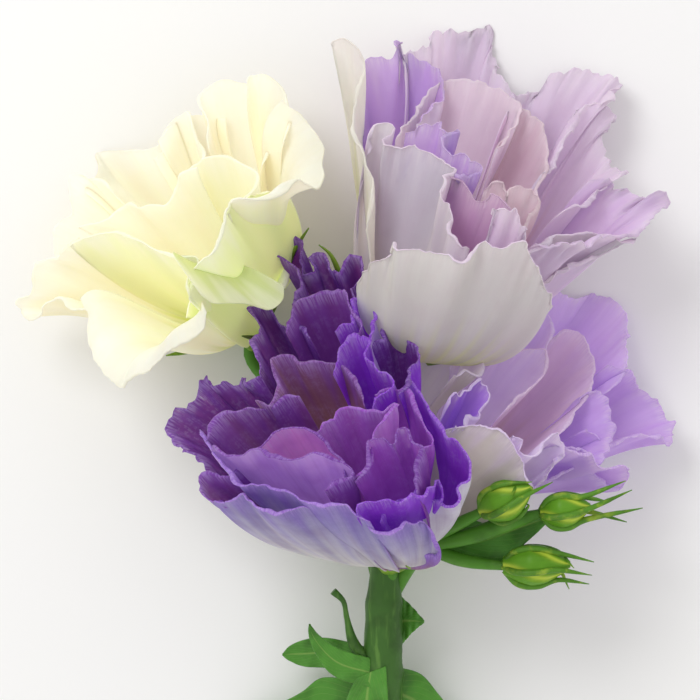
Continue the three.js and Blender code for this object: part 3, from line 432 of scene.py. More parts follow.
class Value:
    """A number inside a material; arithmetic on it adds the nodes that work it out."""

    def __init__(self, tree: bpy.types.NodeTree, socket: bpy.types.NodeSocket) -> None:
        """Wraps the output socket of a node in a tree."""
        self.tree = tree
        self.socket = socket

    def _with(self, operation: str, *others: object) -> "Value":
        """Adds one Math node to this value and others.

        Args:
            operation: What the node works out.
            *others: The further numbers or values that it takes.

        Returns:
            The value that comes out.
        """
        sockets = dict(enumerate((self, *others)))
        return Value(
            self.tree, add_node(self.tree, "ShaderNodeMath", {"operation": operation}, sockets).outputs[0]
        )

    def __add__(self, other: object) -> "Value":
        """This plus another."""
        return self._with("ADD", other)

    __radd__ = __add__

    def __sub__(self, other: object) -> "Value":
        """This minus another."""
        return self._with("SUBTRACT", other)

    def __rsub__(self, other: float) -> "Value":
        """A number minus this."""
        return (self * -1.0) + other

    def __mul__(self, other: object) -> "Value":
        """This times another."""
        return self._with("MULTIPLY", other)

    __rmul__ = __mul__

    def absolute(self) -> "Value":
        """This without its sign."""
        return self._with("ABSOLUTE")

    def fraction(self) -> "Value":
        """The part of this behind the point."""
        return self._with("FRACT")

    def between(self, low: float, high: float) -> "Value":
        """Rises smoothly from 0 where this is low to 1 where it is high.

        Args:
            low: Where the rise begins.
            high: Where it ends.

        Returns:
            The risen value.
        """
        settings = {"interpolation_type": "SMOOTHSTEP"}
        sockets = {"Value": self, "From Min": low, "From Max": high}
        return Value(
            self.tree, add_node(self.tree, "ShaderNodeMapRange", settings, sockets).outputs["Result"]
        )


class Palette:
    """A material under construction, with short names for the nodes that it uses."""

    def __init__(self, name: str) -> None:
        """Starts a material with one principled shader.

        Args:
            name: What to call the material.
        """
        self.material = bpy.data.materials.new(name)
        self.material.use_nodes = True
        self.tree = self.material.node_tree
        self.tree.nodes.clear()
        self.shader = self.node("ShaderNodeBsdfPrincipled", {}, {})
        self.node("ShaderNodeOutputMaterial", {}, {"Surface": self.shader.outputs["BSDF"]})

    def node(self, kind: str, settings: dict[str, object], sockets: dict[object, object]) -> bpy.types.Node:
        """Adds a node to the material, as add_node says."""
        return add_node(self.tree, kind, settings, sockets)

    def attribute(self, name: str) -> bpy.types.Node:
        """The node that reads one of the mesh's own attributes."""
        return self.node("ShaderNodeAttribute", {"attribute_name": name}, {})

    def body_coordinates(self) -> bpy.types.NodeSocket:
        """Places in the piece's own coordinates."""
        return self.node("ShaderNodeTexCoord", {}, {}).outputs["Object"]

    def scaled(self, vector: bpy.types.NodeSocket, scale: Sequence[float]) -> bpy.types.NodeSocket:
        """A vector with each of its parts multiplied by its own number."""
        sockets = {0: vector, 1: tuple(scale)}
        return self.node("ShaderNodeVectorMath", {"operation": "MULTIPLY"}, sockets).outputs[0]

    def noise(
        self, vector: bpy.types.NodeSocket, scale: float, detail: float, rough: float = 0.5
    ) -> Value:
        """Soft random mottling from 0 to 1."""
        sockets = {"Vector": vector, "Scale": scale, "Detail": detail, "Roughness": rough}
        return Value(self.tree, self.node("ShaderNodeTexNoise", {}, sockets).outputs[0])

    def blend(
        self, share: object, first: object, second: object, how: str = "MIX"
    ) -> bpy.types.NodeSocket:
        """Mixes two colours.

        Args:
            share: How much of the second colour is taken.
            first: A colour, or the socket that gives it.
            second: The other colour.
            how: The Mix node's way of mixing.

        Returns:
            The socket of the mixed colour.
        """
        settings = {"data_type": "RGBA", "blend_type": how}
        sockets = {MIX_SHARE: share, MIX_FIRST: first, MIX_SECOND: second}
        return self.node("ShaderNodeMix", settings, sockets).outputs[MIX_COLOUR]

    def relief(self, height: Value, depth: float, strength: float) -> bpy.types.NodeSocket:
        """The normals of a surface raised by a height from 0 to 1, depth metres deep."""
        sockets = {"Height": height, "Distance": depth, "Strength": strength}
        return self.node("ShaderNodeBump", {}, sockets).outputs["Normal"]

    def cover(self, **values: object) -> None:
        """Feeds the shader's sockets, named with underscores for spaces, with links or plain values."""
        for key, value in values.items():
            feed(self.tree, self.shader.inputs[key.replace("_", " ")], value)


@dataclass(frozen=True)
class PetalFinish:
    """The finish of a bloom's petals: fine veins, mottling, frosted rims with a painted highlight, a
    subsurface glow and a painted glow of emission.
    """

    name: str
    deepening: tuple[float, float, float]
    vein_share: float
    mottle: float
    # How much the rim is lightened towards the frost colour: partly a paler rim, partly a painted highlight
    # along it.
    rim_frost_and_highlight: float
    body_frost: float
    frost_and_highlight_tint: Tint
    roughness: float = 0.5
    glow: float = 0.35
    # How strongly the petals emit their own colour: a painted glow, not a lamp, that lightens their shaded
    # crevices.
    painted_glow: float = 0.12
    fibre_scale: tuple[float, float, float] = (0.9, 2.2, 3.7)
    fine_scale: tuple[float, float, float] = (3.0, 9.0, 3.7)
    cloud_scale: float = 120.0
    speck_scale: float = 900.0
    relief_depth: float = 0.2
    glow_depth: float = 2.5

    def material(self) -> bpy.types.Material:
        """Builds the petal material from the Tint and Place attributes.

        Returns:
            The material.
        """
        palette = Palette(self.name)
        place = palette.attribute("Place").outputs["Vector"]
        parts = palette.node("ShaderNodeSeparateXYZ", {}, {"Vector": place})
        along = Value(palette.tree, parts.outputs["Y"])
        body = palette.body_coordinates()
        fibres = palette.noise(palette.scaled(place, self.fibre_scale), 1.0, 4.0, 0.6)
        fine = palette.noise(palette.scaled(place, self.fine_scale), 1.0, 2.0, 0.5)
        cloud = palette.noise(body, self.cloud_scale, 3.0, 0.55)
        speck = palette.noise(body, self.speck_scale, 3.0, 0.6)
        tint = palette.attribute("Tint").outputs["Color"]
        deeper = palette.blend(1.0, tint, (*self.deepening, 1.0), "MULTIPLY")
        veined = palette.blend(fibres.between(0.45, 0.75) * self.vein_share, tint, deeper)
        mottled = palette.blend(cloud.between(0.42, 0.7) * self.mottle, veined, deeper)
        dust = (speck * 0.6 + fine * 0.4).between(0.46, 0.6)
        hoar = cloud.between(0.62, 0.4) * dust * self.body_frost
        hoared = palette.blend(hoar, mottled, self.frost_and_highlight_tint.rgba)
        # The rim's last stretch is lightened in patches towards the frost colour: partly a paler rim,
        # partly a painted highlight along it.
        rim = along.between(0.93, 1.0) * fine.between(0.36, 0.62) * self.rim_frost_and_highlight
        skin = palette.blend(rim, hoared, self.frost_and_highlight_tint.rgba)
        height = fibres * 0.5 + fine * 0.3 + speck * 0.2
        palette.cover(
            Base_Color=skin,
            # Emission in the skin's own colour is a painted glow: it stands in for light passing through
            # the petals and lightens the shade in their crevices.
            Emission_Color=skin,
            Emission_Strength=self.painted_glow,
            Normal=palette.relief(height, self.relief_depth * MM, 0.3),
            Roughness=self.roughness,
            Specular_IOR_Level=0.2,
            Subsurface_Weight=self.glow,
            Subsurface_Radius=(1.0, 0.85, 0.85),
            Subsurface_Scale=self.glow_depth * MM,
        )
        return palette.material


@dataclass(frozen=True)
class GreenFinish:
    """The finish of stems, calyces, buds and lobes: streaks along the growth and a satin skin."""

    name: str
    base: Tint
    streak: Tint
    streak_scale: tuple[float, float, float]
    streak_share: float = 0.8
    roughness: float = 0.45
    cloud_scale: float = 160.0
    grain_scale: float = 1400.0
    relief_depth: float = 0.3

    def material(self) -> bpy.types.Material:
        """Builds the green material on the piece's own coordinates.

        Returns:
            The material.
        """
        palette = Palette(self.name)
        body = palette.body_coordinates()
        streaks = palette.noise(palette.scaled(body, self.streak_scale), 1.0, 3.0, 0.55)
        cloud = palette.noise(body, self.cloud_scale, 3.0, 0.5)
        grain = palette.noise(body, self.grain_scale, 2.0, 0.5)
        share = streaks.between(0.48, 0.68) * self.streak_share
        lit = palette.blend(share, self.base.rgba, self.streak.rgba)
        height = streaks * 0.6 + grain * 0.4
        palette.cover(
            Base_Color=palette.blend(cloud.between(0.45, 0.75) * 0.6, lit, self.base.shaded(0.45)),
            Normal=palette.relief(height, self.relief_depth * MM, 0.4),
            Roughness=self.roughness,
            Specular_IOR_Level=0.25,
            Subsurface_Weight=0.15,
            Subsurface_Radius=(0.6, 1.0, 0.3),
            Subsurface_Scale=1.0 * MM,
        )
        return palette.material


@dataclass(frozen=True)
class LeafFinish:
    """The finish of a leaf: a pale midrib, side veins and a waxy bloom."""

    name: str
    base: Tint
    rib: Tint
    roughness: float = 0.42
    cloud_scale: float = 130.0
    grain_scale: float = 1100.0
    side_veins: float = 9.0
    relief_depth: float = 0.3

    def material(self) -> bpy.types.Material:
        """Builds the leaf material; Place holds the share across and along the blade.

        Returns:
            The material.
        """
        palette = Palette(self.name)
        place = palette.attribute("Place").outputs["Vector"]
        parts = palette.node("ShaderNodeSeparateXYZ", {}, {"Vector": place})
        across = Value(palette.tree, parts.outputs["X"])
        along = Value(palette.tree, parts.outputs["Y"])
        off_rib = (across - 0.5).absolute()
        rib = 1.0 - off_rib.between(0.01, 0.06)
        slant = along * self.side_veins - off_rib * self.side_veins
        vein = 1.0 - (slant.fraction() - 0.5).absolute().between(0.0, 0.07)
        body = palette.body_coordinates()
        cloud = palette.noise(body, self.cloud_scale, 3.0, 0.55)
        grain = palette.noise(body, self.grain_scale, 2.0, 0.5)
        blade = palette.blend(cloud.between(0.4, 0.72) * 0.7, self.base.rgba, self.base.shaded(0.4))
        veined = palette.blend(vein * 0.3, blade, self.rib.rgba)
        height = grain * 0.5 - vein * 0.25 - rib * 0.4
        palette.cover(
            Base_Color=palette.blend(rib * 0.7, veined, self.rib.rgba),
            Normal=palette.relief(height, self.relief_depth * MM, 0.5),
            Roughness=self.roughness,
            Specular_IOR_Level=0.3,
            Subsurface_Weight=0.12,
            Subsurface_Radius=(0.5, 1.0, 0.3),
            Subsurface_Scale=0.8 * MM,
        )
        return palette.material


def dress(piece: bpy.types.Object, material: bpy.types.Material, slot: str, *nodes: str) -> None:
    """Gives a finished piece its material and its body, and hides the nodes that it stands for.

    Args:
        piece: The finished object.
        material: What covers it.
        slot: The record's material slot; not used.
        *nodes: The frame's nodes that it replaces.
    """
    piece.data.materials.clear()
    piece.data.materials.append(material)
    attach(piece, "root")
    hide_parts(*nodes)
    triangles = sum(len(p.vertices) - 2 for p in piece.data.polygons)
    LOG.info("%s: %d triangles", piece.name, triangles)


@dataclass(frozen=True)
class Petal:
    """One petal: its rim as the eye sees it, its heights along the rim, and its two faces' colours."""

    label: str
    rise: Rise
    inner: Tint
    outer: Tint
    heights: tuple[float, ...]
    rim: tuple[tuple[float, float], ...]
    hearts: tuple[Tint, Tint] | None = None
    ruffle: float = 1.0
    roll: float = 1.0
    reach: float = 1.0

    def rim_places(self) -> np.ndarray:
        """Places the rim over the table, the heights spread evenly along it.

        Returns:
            The rim's points in metres in the part's frame.
        """
        count = len(self.rim)
        heights = np.interp(np.linspace(0, 1, count), np.linspace(0, 1, len(self.heights)), self.heights)
        return seen(np.column_stack((np.array(self.rim, float), heights)))


@dataclass(frozen=True)
class RodPath:
    """A round rod along a smooth curve: places as the eye sees them with a radius in millimetres."""

    places: tuple[tuple[float, float, float, float], ...]
    steps: int = 48

    def line(self) -> np.ndarray:
        """Points along the rod in metres, each with the rod's radius there."""
        given = np.array(self.places, float)
        return curve_through(np.column_stack((seen(given[:, :3]), given[:, 3] * MM)), self.steps)


class RodGrower:
    """Grows round rods along paths with a Geometry Nodes tree of its own."""

    def __init__(self) -> None:
        """Builds the tree, whose inputs are the sides, the relief, its grain and the material."""
        self.tree = bpy.data.node_groups.new("Rods along paths", "GeometryNodeTree")
        face = self.tree.interface
        face.new_socket("Paths", in_out="INPUT", socket_type="NodeSocketGeometry")
        kinds = {"Sides": "Int", "Relief": "Float", "Grain": "Float", "Finish": "Material"}
        self.inputs = {
            name: face.new_socket(name, in_out="INPUT", socket_type=f"NodeSocket{kind}").identifier
            for name, kind in kinds.items()
        }
        face.new_socket("Rods", in_out="OUTPUT", socket_type="NodeSocketGeometry")
        given = self.node("NodeGroupInput")
        curve = self.node("GeometryNodeMeshToCurve", {"Mesh": given.outputs["Paths"]})
        sides = {"Resolution": given.outputs["Sides"], "Radius": 1.0}
        ring = self.node("GeometryNodeCurvePrimitiveCircle", sides)
        radius = self.node("GeometryNodeInputNamedAttribute", {"Name": "Radius"})
        swept = self.node(
            "GeometryNodeCurveToMesh",
            {
                "Curve": curve.outputs["Curve"],
                "Profile Curve": ring.outputs["Curve"],
                "Scale": radius.outputs["Attribute"],
                "Fill Caps": True,
            },
        )
        bumps = {"W": 3.0, "Scale": given.outputs["Grain"]}
        noise = self.node("ShaderNodeTexNoise", bumps, noise_dimensions="4D")
        centred = self.node("ShaderNodeMath", {0: noise.outputs[0], 1: 0.5}, operation="SUBTRACT")
        depth = {0: centred.outputs[0], 1: given.outputs["Relief"]}
        height = self.node("ShaderNodeMath", depth, operation="MULTIPLY")
        normal = self.node("GeometryNodeInputNormal")
        outwards = {0: normal.outputs["Normal"], "Scale": height.outputs[0]}
        push = self.node("ShaderNodeVectorMath", outwards, operation="SCALE")
        placed = {"Geometry": swept.outputs[0], "Offset": push.outputs[0]}
        moved = self.node("GeometryNodeSetPosition", placed)
        smooth = self.node("GeometryNodeSetShadeSmooth", {"Geometry": moved.outputs[0]})
        real = self.node("GeometryNodeRealizeInstances", {"Geometry": smooth.outputs[0]})
        finish = {"Geometry": real.outputs[0], "Material": given.outputs["Finish"]}
        dressed = self.node("GeometryNodeSetMaterial", finish)
        self.node("NodeGroupOutput", {"Rods": dressed.outputs[0]})

    def node(self, kind: str, sockets: dict | None = None, **settings: object) -> bpy.types.Node:
        """Adds a node to the tree, as add_node says."""
        return add_node(self.tree, kind, settings, sockets or {})

    def grow(
        self,
        name: str,
        lines: Iterable[np.ndarray],
        material: bpy.types.Material,
        sides: int = 12,
        relief: float = 0.1,
        grain: float = 500.0,
    ) -> bpy.types.Object:
        """Makes one plain mesh object of rods.

        Args:
            name: What to call the object.
            lines: For each rod, its points in metres with the radius in the fourth column.
            material: What covers the rods.
            sides: How many sides a rod has.
            relief: How deep the rods' unevenness is, in millimetres.
            grain: How fine the unevenness is.

        Returns:
            The finished object, at the origin.
        """
        rows = [np.asarray(line) for line in lines]
        starts = np.cumsum([0] + [len(row) for row in rows[:-1]])
        edges = [(s + k, s + k + 1) for s, row in zip(starts, rows) for k in range(len(row) - 1)]
        points = np.vstack(rows)
        mesh = bpy.data.meshes.new(f"{name} paths")
        mesh.from_pydata(points[:, :3].tolist(), [(int(a), int(b)) for a, b in edges], [])
        radius = mesh.attributes.new("Radius", "FLOAT", "POINT")
        radius.data.foreach_set("value", points[:, 3].astype(np.float32))
        source = bpy.data.objects.new(f"{name} paths", mesh)
        bpy.context.scene.collection.objects.link(source)
        grower = source.modifiers.new("Rods", "NODES")
        grower.node_group = self.tree
        values = {"Sides": sides, "Relief": relief * MM, "Grain": grain, "Finish": material}
        for key, value in values.items():
            grower[self.inputs[key]] = value
        evaluated = source.evaluated_get(bpy.context.evaluated_depsgraph_get())
        plain = bpy.data.meshes.new_from_object(evaluated)
        plain.name = name
        source.modifiers.clear()
        bpy.data.objects.remove(source)
        heights = np.empty(3 * len(plain.vertices), np.float32)
        plain.vertices.foreach_get("co", heights)
        heights[2::3] = np.maximum(heights[2::3], TABLE_CLEARANCE * MM)
        plain.vertices.foreach_set("co", heights)
        plain.update()
        made = bpy.data.objects.new(name, plain)
        bpy.context.scene.collection.objects.link(made)
        return made


def across_axis(axis: np.ndarray) -> tuple[np.ndarray, np.ndarray]:
    """Two directions square to an axis: the level one, and the one that faces up.

    Args:
        axis: A direction of length 1.

    Returns:
        The level direction and the upward one.
    """
    side = unit(np.array((axis[1], -axis[0], 0.0)))
    return side, unit(np.cross(side, axis))


def revolved(
    start: np.ndarray, axis: np.ndarray, radii: np.ndarray, heights: np.ndarray
) -> tuple[np.ndarray, np.ndarray]:
    """Rings of points round an axis.

    Args:
        start: Where the axis begins, in metres.
        axis: Its direction.
        radii: The radius of each ring at each of its points, in millimetres.
        heights: Each ring's place along the axis, in millimetres.

    Returns:
        The rings' points, and the point of the axis under the first ring and over the last.
    """
    side, up = across_axis(axis)
    angles = np.linspace(0, TURN, radii.shape[1], endpoint=False)
    out = np.cos(angles)[:, None] * side + np.sin(angles)[:, None] * up
    along_axis = start + heights[:, None] * MM * axis
    rings = along_axis[:, None, :] + radii[..., None] * MM * out[None]
    return rings, along_axis[[0, -1]]


@dataclass(frozen=True)
class Bloom:
    """A double bloom: its petals in layers round a throat, and the calyx behind them."""

    name: str
    base: tuple[float, float, float]
    lean: tuple[float, float, float]
    petals: tuple[Petal, ...]
    lobes: tuple[tuple[tuple[float, float, float], ...], ...]
    finish: PetalFinish
    slot: str
    hearts: tuple[Tint, Tint]
    heart_reach: float
    edge: Tint
    edge_share: float
    ruffles: tuple[float, float, float, float, float]
    crease: float
    fray: float
    seed: int
    throat_radius: float = 1.9
    nominal_height: float = 28.0
    petal_thickness: float = 0.5
    rim_thickness: float = 0.22
    rows: int = 24
    rim_from: float = 0.5
    column_step: float = 0.95
    rim_slack: float = 1.1
    column_limits: tuple[int, int] = (36, 130)
    end_reach: float = 3.0
    ripple_waves: int = 6
    ripple_lengths: tuple[float, float] = (0.7, 1.45)
    ripple_size: float = 0.45
    smoothing: float = 9.0
    lip: float = 0.8
    lip_turn: float = 2.2
    lip_rows: int = 5
    cushion_rows: int = 14
    cushion_sides: int = 32
    cushion_radius: float = 5.0
    cushion_half_length: float = 4.0
    cushion_rise: float = 4.2
    cup_rows: int = 20
    cup_sides: int = 60
    cup_radius: float = 4.5
    cup_half_length: float = 4.0
    cup_drop: float = 5.2
    lobe_radius: float = 1.25
    lobe_steps: int = 36
    lobe_taper: tuple[tuple[float, float], ...] = ((0, 1), (0.4, 1), (0.85, 0.5), (1, 0.12))

    @property
    def axis(self) -> np.ndarray:
        """The direction in which the bloom opens."""
        return unit(np.array(self.lean, float))

    @property
    def throat(self) -> np.ndarray:
        """The point that the petals rise from, in metres."""
        return seen(np.array(self.base, float))

    def ripples(self, rng: np.random.Generator, x: np.ndarray, y: np.ndarray, wave: Wave) -> np.ndarray:
        """An irregular wave over a petal.

        Args:
            rng: Where its chance variations come from.
            x: Places along the rim, in millimetres.
            y: Places up the petal, in millimetres.
            wave: Which of the petal's waves it is.

        Returns:
            Values mostly between -1 and 1.
        """
        wavelength, spread = wave.value
        total = np.zeros(np.broadcast_shapes(x.shape, y.shape))
        for _ in range(self.ripple_waves):
            turn, length = rng.uniform(-spread, spread), wavelength * rng.uniform(*self.ripple_lengths)
            phase = rng.uniform(0, TURN)
            total += np.sin(TURN * (x * math.cos(turn) + y * math.sin(turn)) / length + phase)
        return total * self.ripple_size

    def relief(
        self, petal: Petal, rng: np.random.Generator, strand: np.ndarray, v: np.ndarray
    ) -> np.ndarray:
        """How far a petal's skin stands off to either side of its even course.

        Args:
            petal: The petal.
            rng: Where its chance variations come from.
            strand: Each column's place along the rim, in millimetres.
            v: Each row's share of the way up.

        Returns:
            Millimetres, for each point of the grid.
        """
        x, up = strand[None, :], v[:, None]
        y = self.nominal_height * up
        swing = self.ripples(rng, x, y, Wave.SWING) * 0.5 + 0.8
        swell = self.ripples(rng, x, y, Wave.SWELL) * smoothstep(0.25, 0.95, up)
        folds = self.ripples(rng, x, y, Wave.FOLD)
        folds = (1 - self.crease) * folds + self.crease * (0.8 - 1.7 * np.sqrt(folds**2 + 0.03))
        folds = folds * swing * smoothstep(0.42, 1.0, up) ** 1.3
        frill = self.ripples(rng, x, y, Wave.FRILL) * swing * smoothstep(0.7, 1.0, up) ** 1.5
        crinkle = self.ripples(rng, x, y, Wave.CRINKLE) * smoothstep(0.86, 1.0, up)
        body = self.ripples(rng, x, y, Wave.BODY) * np.sin(math.pi * up)
        parts = zip(self.ruffles, (swell, folds, frill, crinkle, body))
        return petal.ruffle * sum(size * part for size, part in parts)

    def surface(self, petal: Petal, rng: np.random.Generator) -> tuple[np.ndarray, ...]:
        """Works out a petal's middle surface.

        Args:
            petal: The petal.
            rng: Where its chance variations come from.

        Returns:
            The grid of points, the normals of its inner face, each column's place along the rim in
            millimetres, and each row's share of the way up.
        """
        places = petal.rim_places()
        length = np.linalg.norm(np.diff(places, axis=0), axis=1).sum() / MM
        columns = int(np.clip(length * self.rim_slack / self.column_step, *self.column_limits))
        rim = curve_through(places, columns)
        strand = np.linspace(0, length, columns + 1)
        calm = softened(rim, self.smoothing * columns / length)
        v = np.linspace(0, 1, self.rows + 1)
        v = v + 0.12 * np.sin(TURN * v / 2) * (1 - v)
        blend = smoothstep(self.rim_from, 1, v)[:, None, None]
        rims = calm * (1 - blend) + rim * blend
        out = rims - self.throat
        height = out @ self.axis
        radial = out - height[..., None] * self.axis
        radius = np.linalg.norm(radial, axis=-1)
        t, s = v[:, None], 1 - v[:, None]
        start, low, high, end = s**3, 3 * s * s * t, 3 * s * t * t, t**3
        radius_low, height_low, radius_high, height_high = petal.rise.value
        r = start * self.throat_radius * MM + (low * radius_low + high * radius_high + end) * radius
        h = (low * height_low + high * height_high + end) * height
        grid = self.throat + h[..., None] * self.axis + r[..., None] * unit(radial)
        normals = self.normals(grid)
        lift = self.relief(petal, rng, strand, v)
        x = strand[None, :]
        ends = smoothstep(0, self.end_reach, strand) * smoothstep(0, self.end_reach, length - strand)
        facing = 0.4 + 0.6 * np.abs(normals[..., 2])
        grid = grid + normals * (lift * facing * (0.3 + 0.7 * ends))[..., None] * MM
        fray = self.ripples(rng, x, 0 * x, Wave.FRAY) * 0.6
        fray += self.ripples(rng, x, 0 * x, Wave.FINE_FRAY) * 0.4
        reach = self.fray * petal.ruffle * fray * smoothstep(0.85, 1.0, v)[:, None]
        grid = grid + unit(np.gradient(grid, axis=0)) * reach[..., None] * MM
        grid = np.concatenate((grid, self.lip_of(petal, rng, grid, strand, ends)))
        grid[..., 2] = np.maximum(grid[..., 2], (TABLE_CLEARANCE + 0.6 * self.petal_thickness) * MM)
        v = np.concatenate((v, 1 + 0.02 * np.arange(1, self.lip_rows + 1)))
        return grid, self.normals(grid), strand, v

    def lip_of(
        self, petal: Petal, rng: np.random.Generator, grid: np.ndarray, strand: np.ndarray, ends: np.ndarray
    ) -> np.ndarray:
        """Rolls a petal's rim over, away from the bloom's axis.

        Args:
            petal: The petal.
            rng: Where its chance variations come from.
            grid: The petal's points up to its rim.
            strand: Each column's place along the rim, in millimetres.
            ends: How far each column is from the rim's two ends, from 0 to 1.

        Returns:
            The further rows of points, from the rim outwards.
        """
        up = unit(grid[-1] - grid[-3])
        inwards = self.normals(grid)[-1]
        x = strand[None, :]
        size = petal.roll * self.lip * (0.9 + 0.75 * self.ripples(rng, x, 0 * x, Wave.LIP)[0])
        over_table = smoothstep(0.5, 5.0, grid[-1, :, 2] / MM)
        size = (np.clip(size, 0.2, None) * (0.12 + 0.88 * ends) * (0.1 + 0.9 * over_table))[:, None] * MM
        turns = self.lip_turn * np.arange(1, self.lip_rows + 1) / self.lip_rows
        return np.array(
            [grid[-1] + size * (math.sin(a) * up - (1 - math.cos(a)) * inwards) for a in turns]
        )

    def normals(self, grid: np.ndarray) -> np.ndarray:
        """Works out which way a petal's inner side faces.

        Args:
            grid: The petal's points.

        Returns:
            The directions square to its surface, on the side that faces the bloom's axis.
        """
        across = np.gradient(grid, axis=1)
        up = np.gradient(grid, axis=0)
        square = unit(np.cross(across, up))
        middle = square[len(grid) // 2 :].mean(axis=(0, 1))
        centre = grid[len(grid) // 2 :].mean(axis=(0, 1)) - self.throat
        inwards = self.axis - 1.6 * unit(centre - (centre @ self.axis) * self.axis)
        return square if middle @ inwards > 0 else -square

    def shades(
        self, body: Tint, heart: Tint, reach: float, strand: np.ndarray, v: np.ndarray, drift: float
    ) -> np.ndarray:
        """Colours a petal's face from its heart through its body to its rim.

        Args:
            body: The colour of most of the face.
            heart: The colour at the throat.
            reach: How far up the heart's colour reaches, as a share of the petal.
            strand: Each column's place along the rim, in millimetres.
            v: Each row's share of the way up.
            drift: Shifts the slow variation along the rim.

        Returns:
            The linear colour of each point of the grid.
        """
        wander = 0.06 * np.sin(TURN * strand / 9 + drift)
        wander += 0.04 * np.sin(TURN * strand / 4.1 + 2 * drift)
        up = v[:, None] + wander[None, :]
        to_heart = 1 - smoothstep(0.1 * reach, reach, up)
        to_edge = smoothstep(0.84, 1.02, up) * self.edge_share
        colour = body.linear * (1 - to_heart[..., None]) + heart.linear * to_heart[..., None]
        colour = colour * (1 - to_edge[..., None]) + self.edge.linear * to_edge[..., None]
        return colour * (0.97 + 0.05 * np.sin(TURN * strand / 17 + drift))[None, :, None]

    def build_petals(self) -> bpy.types.Object:
        """Makes all the petals of the bloom, and the little cushion that they spring from.

        Returns:
            The petals in one object.
        """
        rng = np.random.default_rng(self.seed)
        skin = Skin()
        for k, petal in enumerate(self.petals):
            LOG.debug("%s: %s", self.name, petal.label)
            grid, normals, strand, v = self.surface(petal, rng)
            drift = rng.uniform(0, TURN)
            faces = zip((petal.inner, petal.outer), petal.hearts or self.hearts)
            reach = self.heart_reach * petal.reach
            tints = [self.shades(body, heart, reach, strand, v, drift) for body, heart in faces]
            thinning = self.rim_thickness - self.petal_thickness
            fade = self.petal_thickness + thinning * np.minimum(v, 1) ** 2
            thickness = np.repeat(fade[:, None], len(strand), axis=1) * MM
            place = pattern(strand[None, :], v[:, None], 1.7 * k + self.seed)
            skin.add_sheet(grid, normals, thickness, (tints[0], tints[1]), place)
        self.add_cushion(skin)
        return skin.object(f"{self.name}_petals")

    def add_cushion(self, skin: Skin) -> None:
        """Adds the cushion in the throat, out of which the innermost petals grow.

        Args:
            skin: The surface that it is added to.
        """
        turn = np.linspace(0, math.pi, self.cushion_rows)[1:-1]
        angles = np.linspace(0, TURN, self.cushion_sides, endpoint=False)
        radii = self.cushion_radius * np.sin(turn)[:, None] * (1 + 0.05 * np.cos(5 * angles))[None, :]
        middle = self.throat + self.cushion_rise * MM * self.axis
        rings, poles = revolved(middle, self.axis, radii, -self.cushion_half_length * np.cos(turn))
        skin.add_revolved(rings, poles, self.hearts[0].linear, np.array((0.0, 0.2, 9.0)))

    def build_calyx(self, grower: RodGrower, material: bpy.types.Material) -> list[bpy.types.Object]:
        """Makes the ridged cup behind the bloom, and its long lobes.

        Args:
            grower: What makes the lobes.
            material: What covers them.

        Returns:
            The cup and the lobes.
        """
        middle = self.throat - self.cup_drop * MM * self.axis
        skin = Skin()
        turn = np.linspace(0, math.pi, self.cup_rows)[1:-1]
        angles = np.linspace(0, TURN, self.cup_sides, endpoint=False)
        ridges = 1 + 0.05 * np.cos(5 * angles) + 0.02 * np.cos(15 * angles)
        radii = self.cup_radius * np.sin(turn)[:, None] ** 0.8 * ridges[None, :]
        rings, poles = revolved(middle, self.axis, radii, -self.cup_half_length * np.cos(turn))
        skin.add_revolved(rings, poles, Tint.CALYX_GREEN.linear, np.array((0.0, 0.5, 2.0)))
        lines = []
        for lobe in self.lobes:
            path = np.vstack((middle, seen(np.array(lobe, float))))
            lines.append(tapered(path, self.lobe_steps, self.lobe_radius, self.lobe_taper))
        cup = skin.object(f"{self.name}_calyx_cup")
        return [cup, grower.grow(f"{self.name}_calyx_lobes", lines, material, sides=10)]


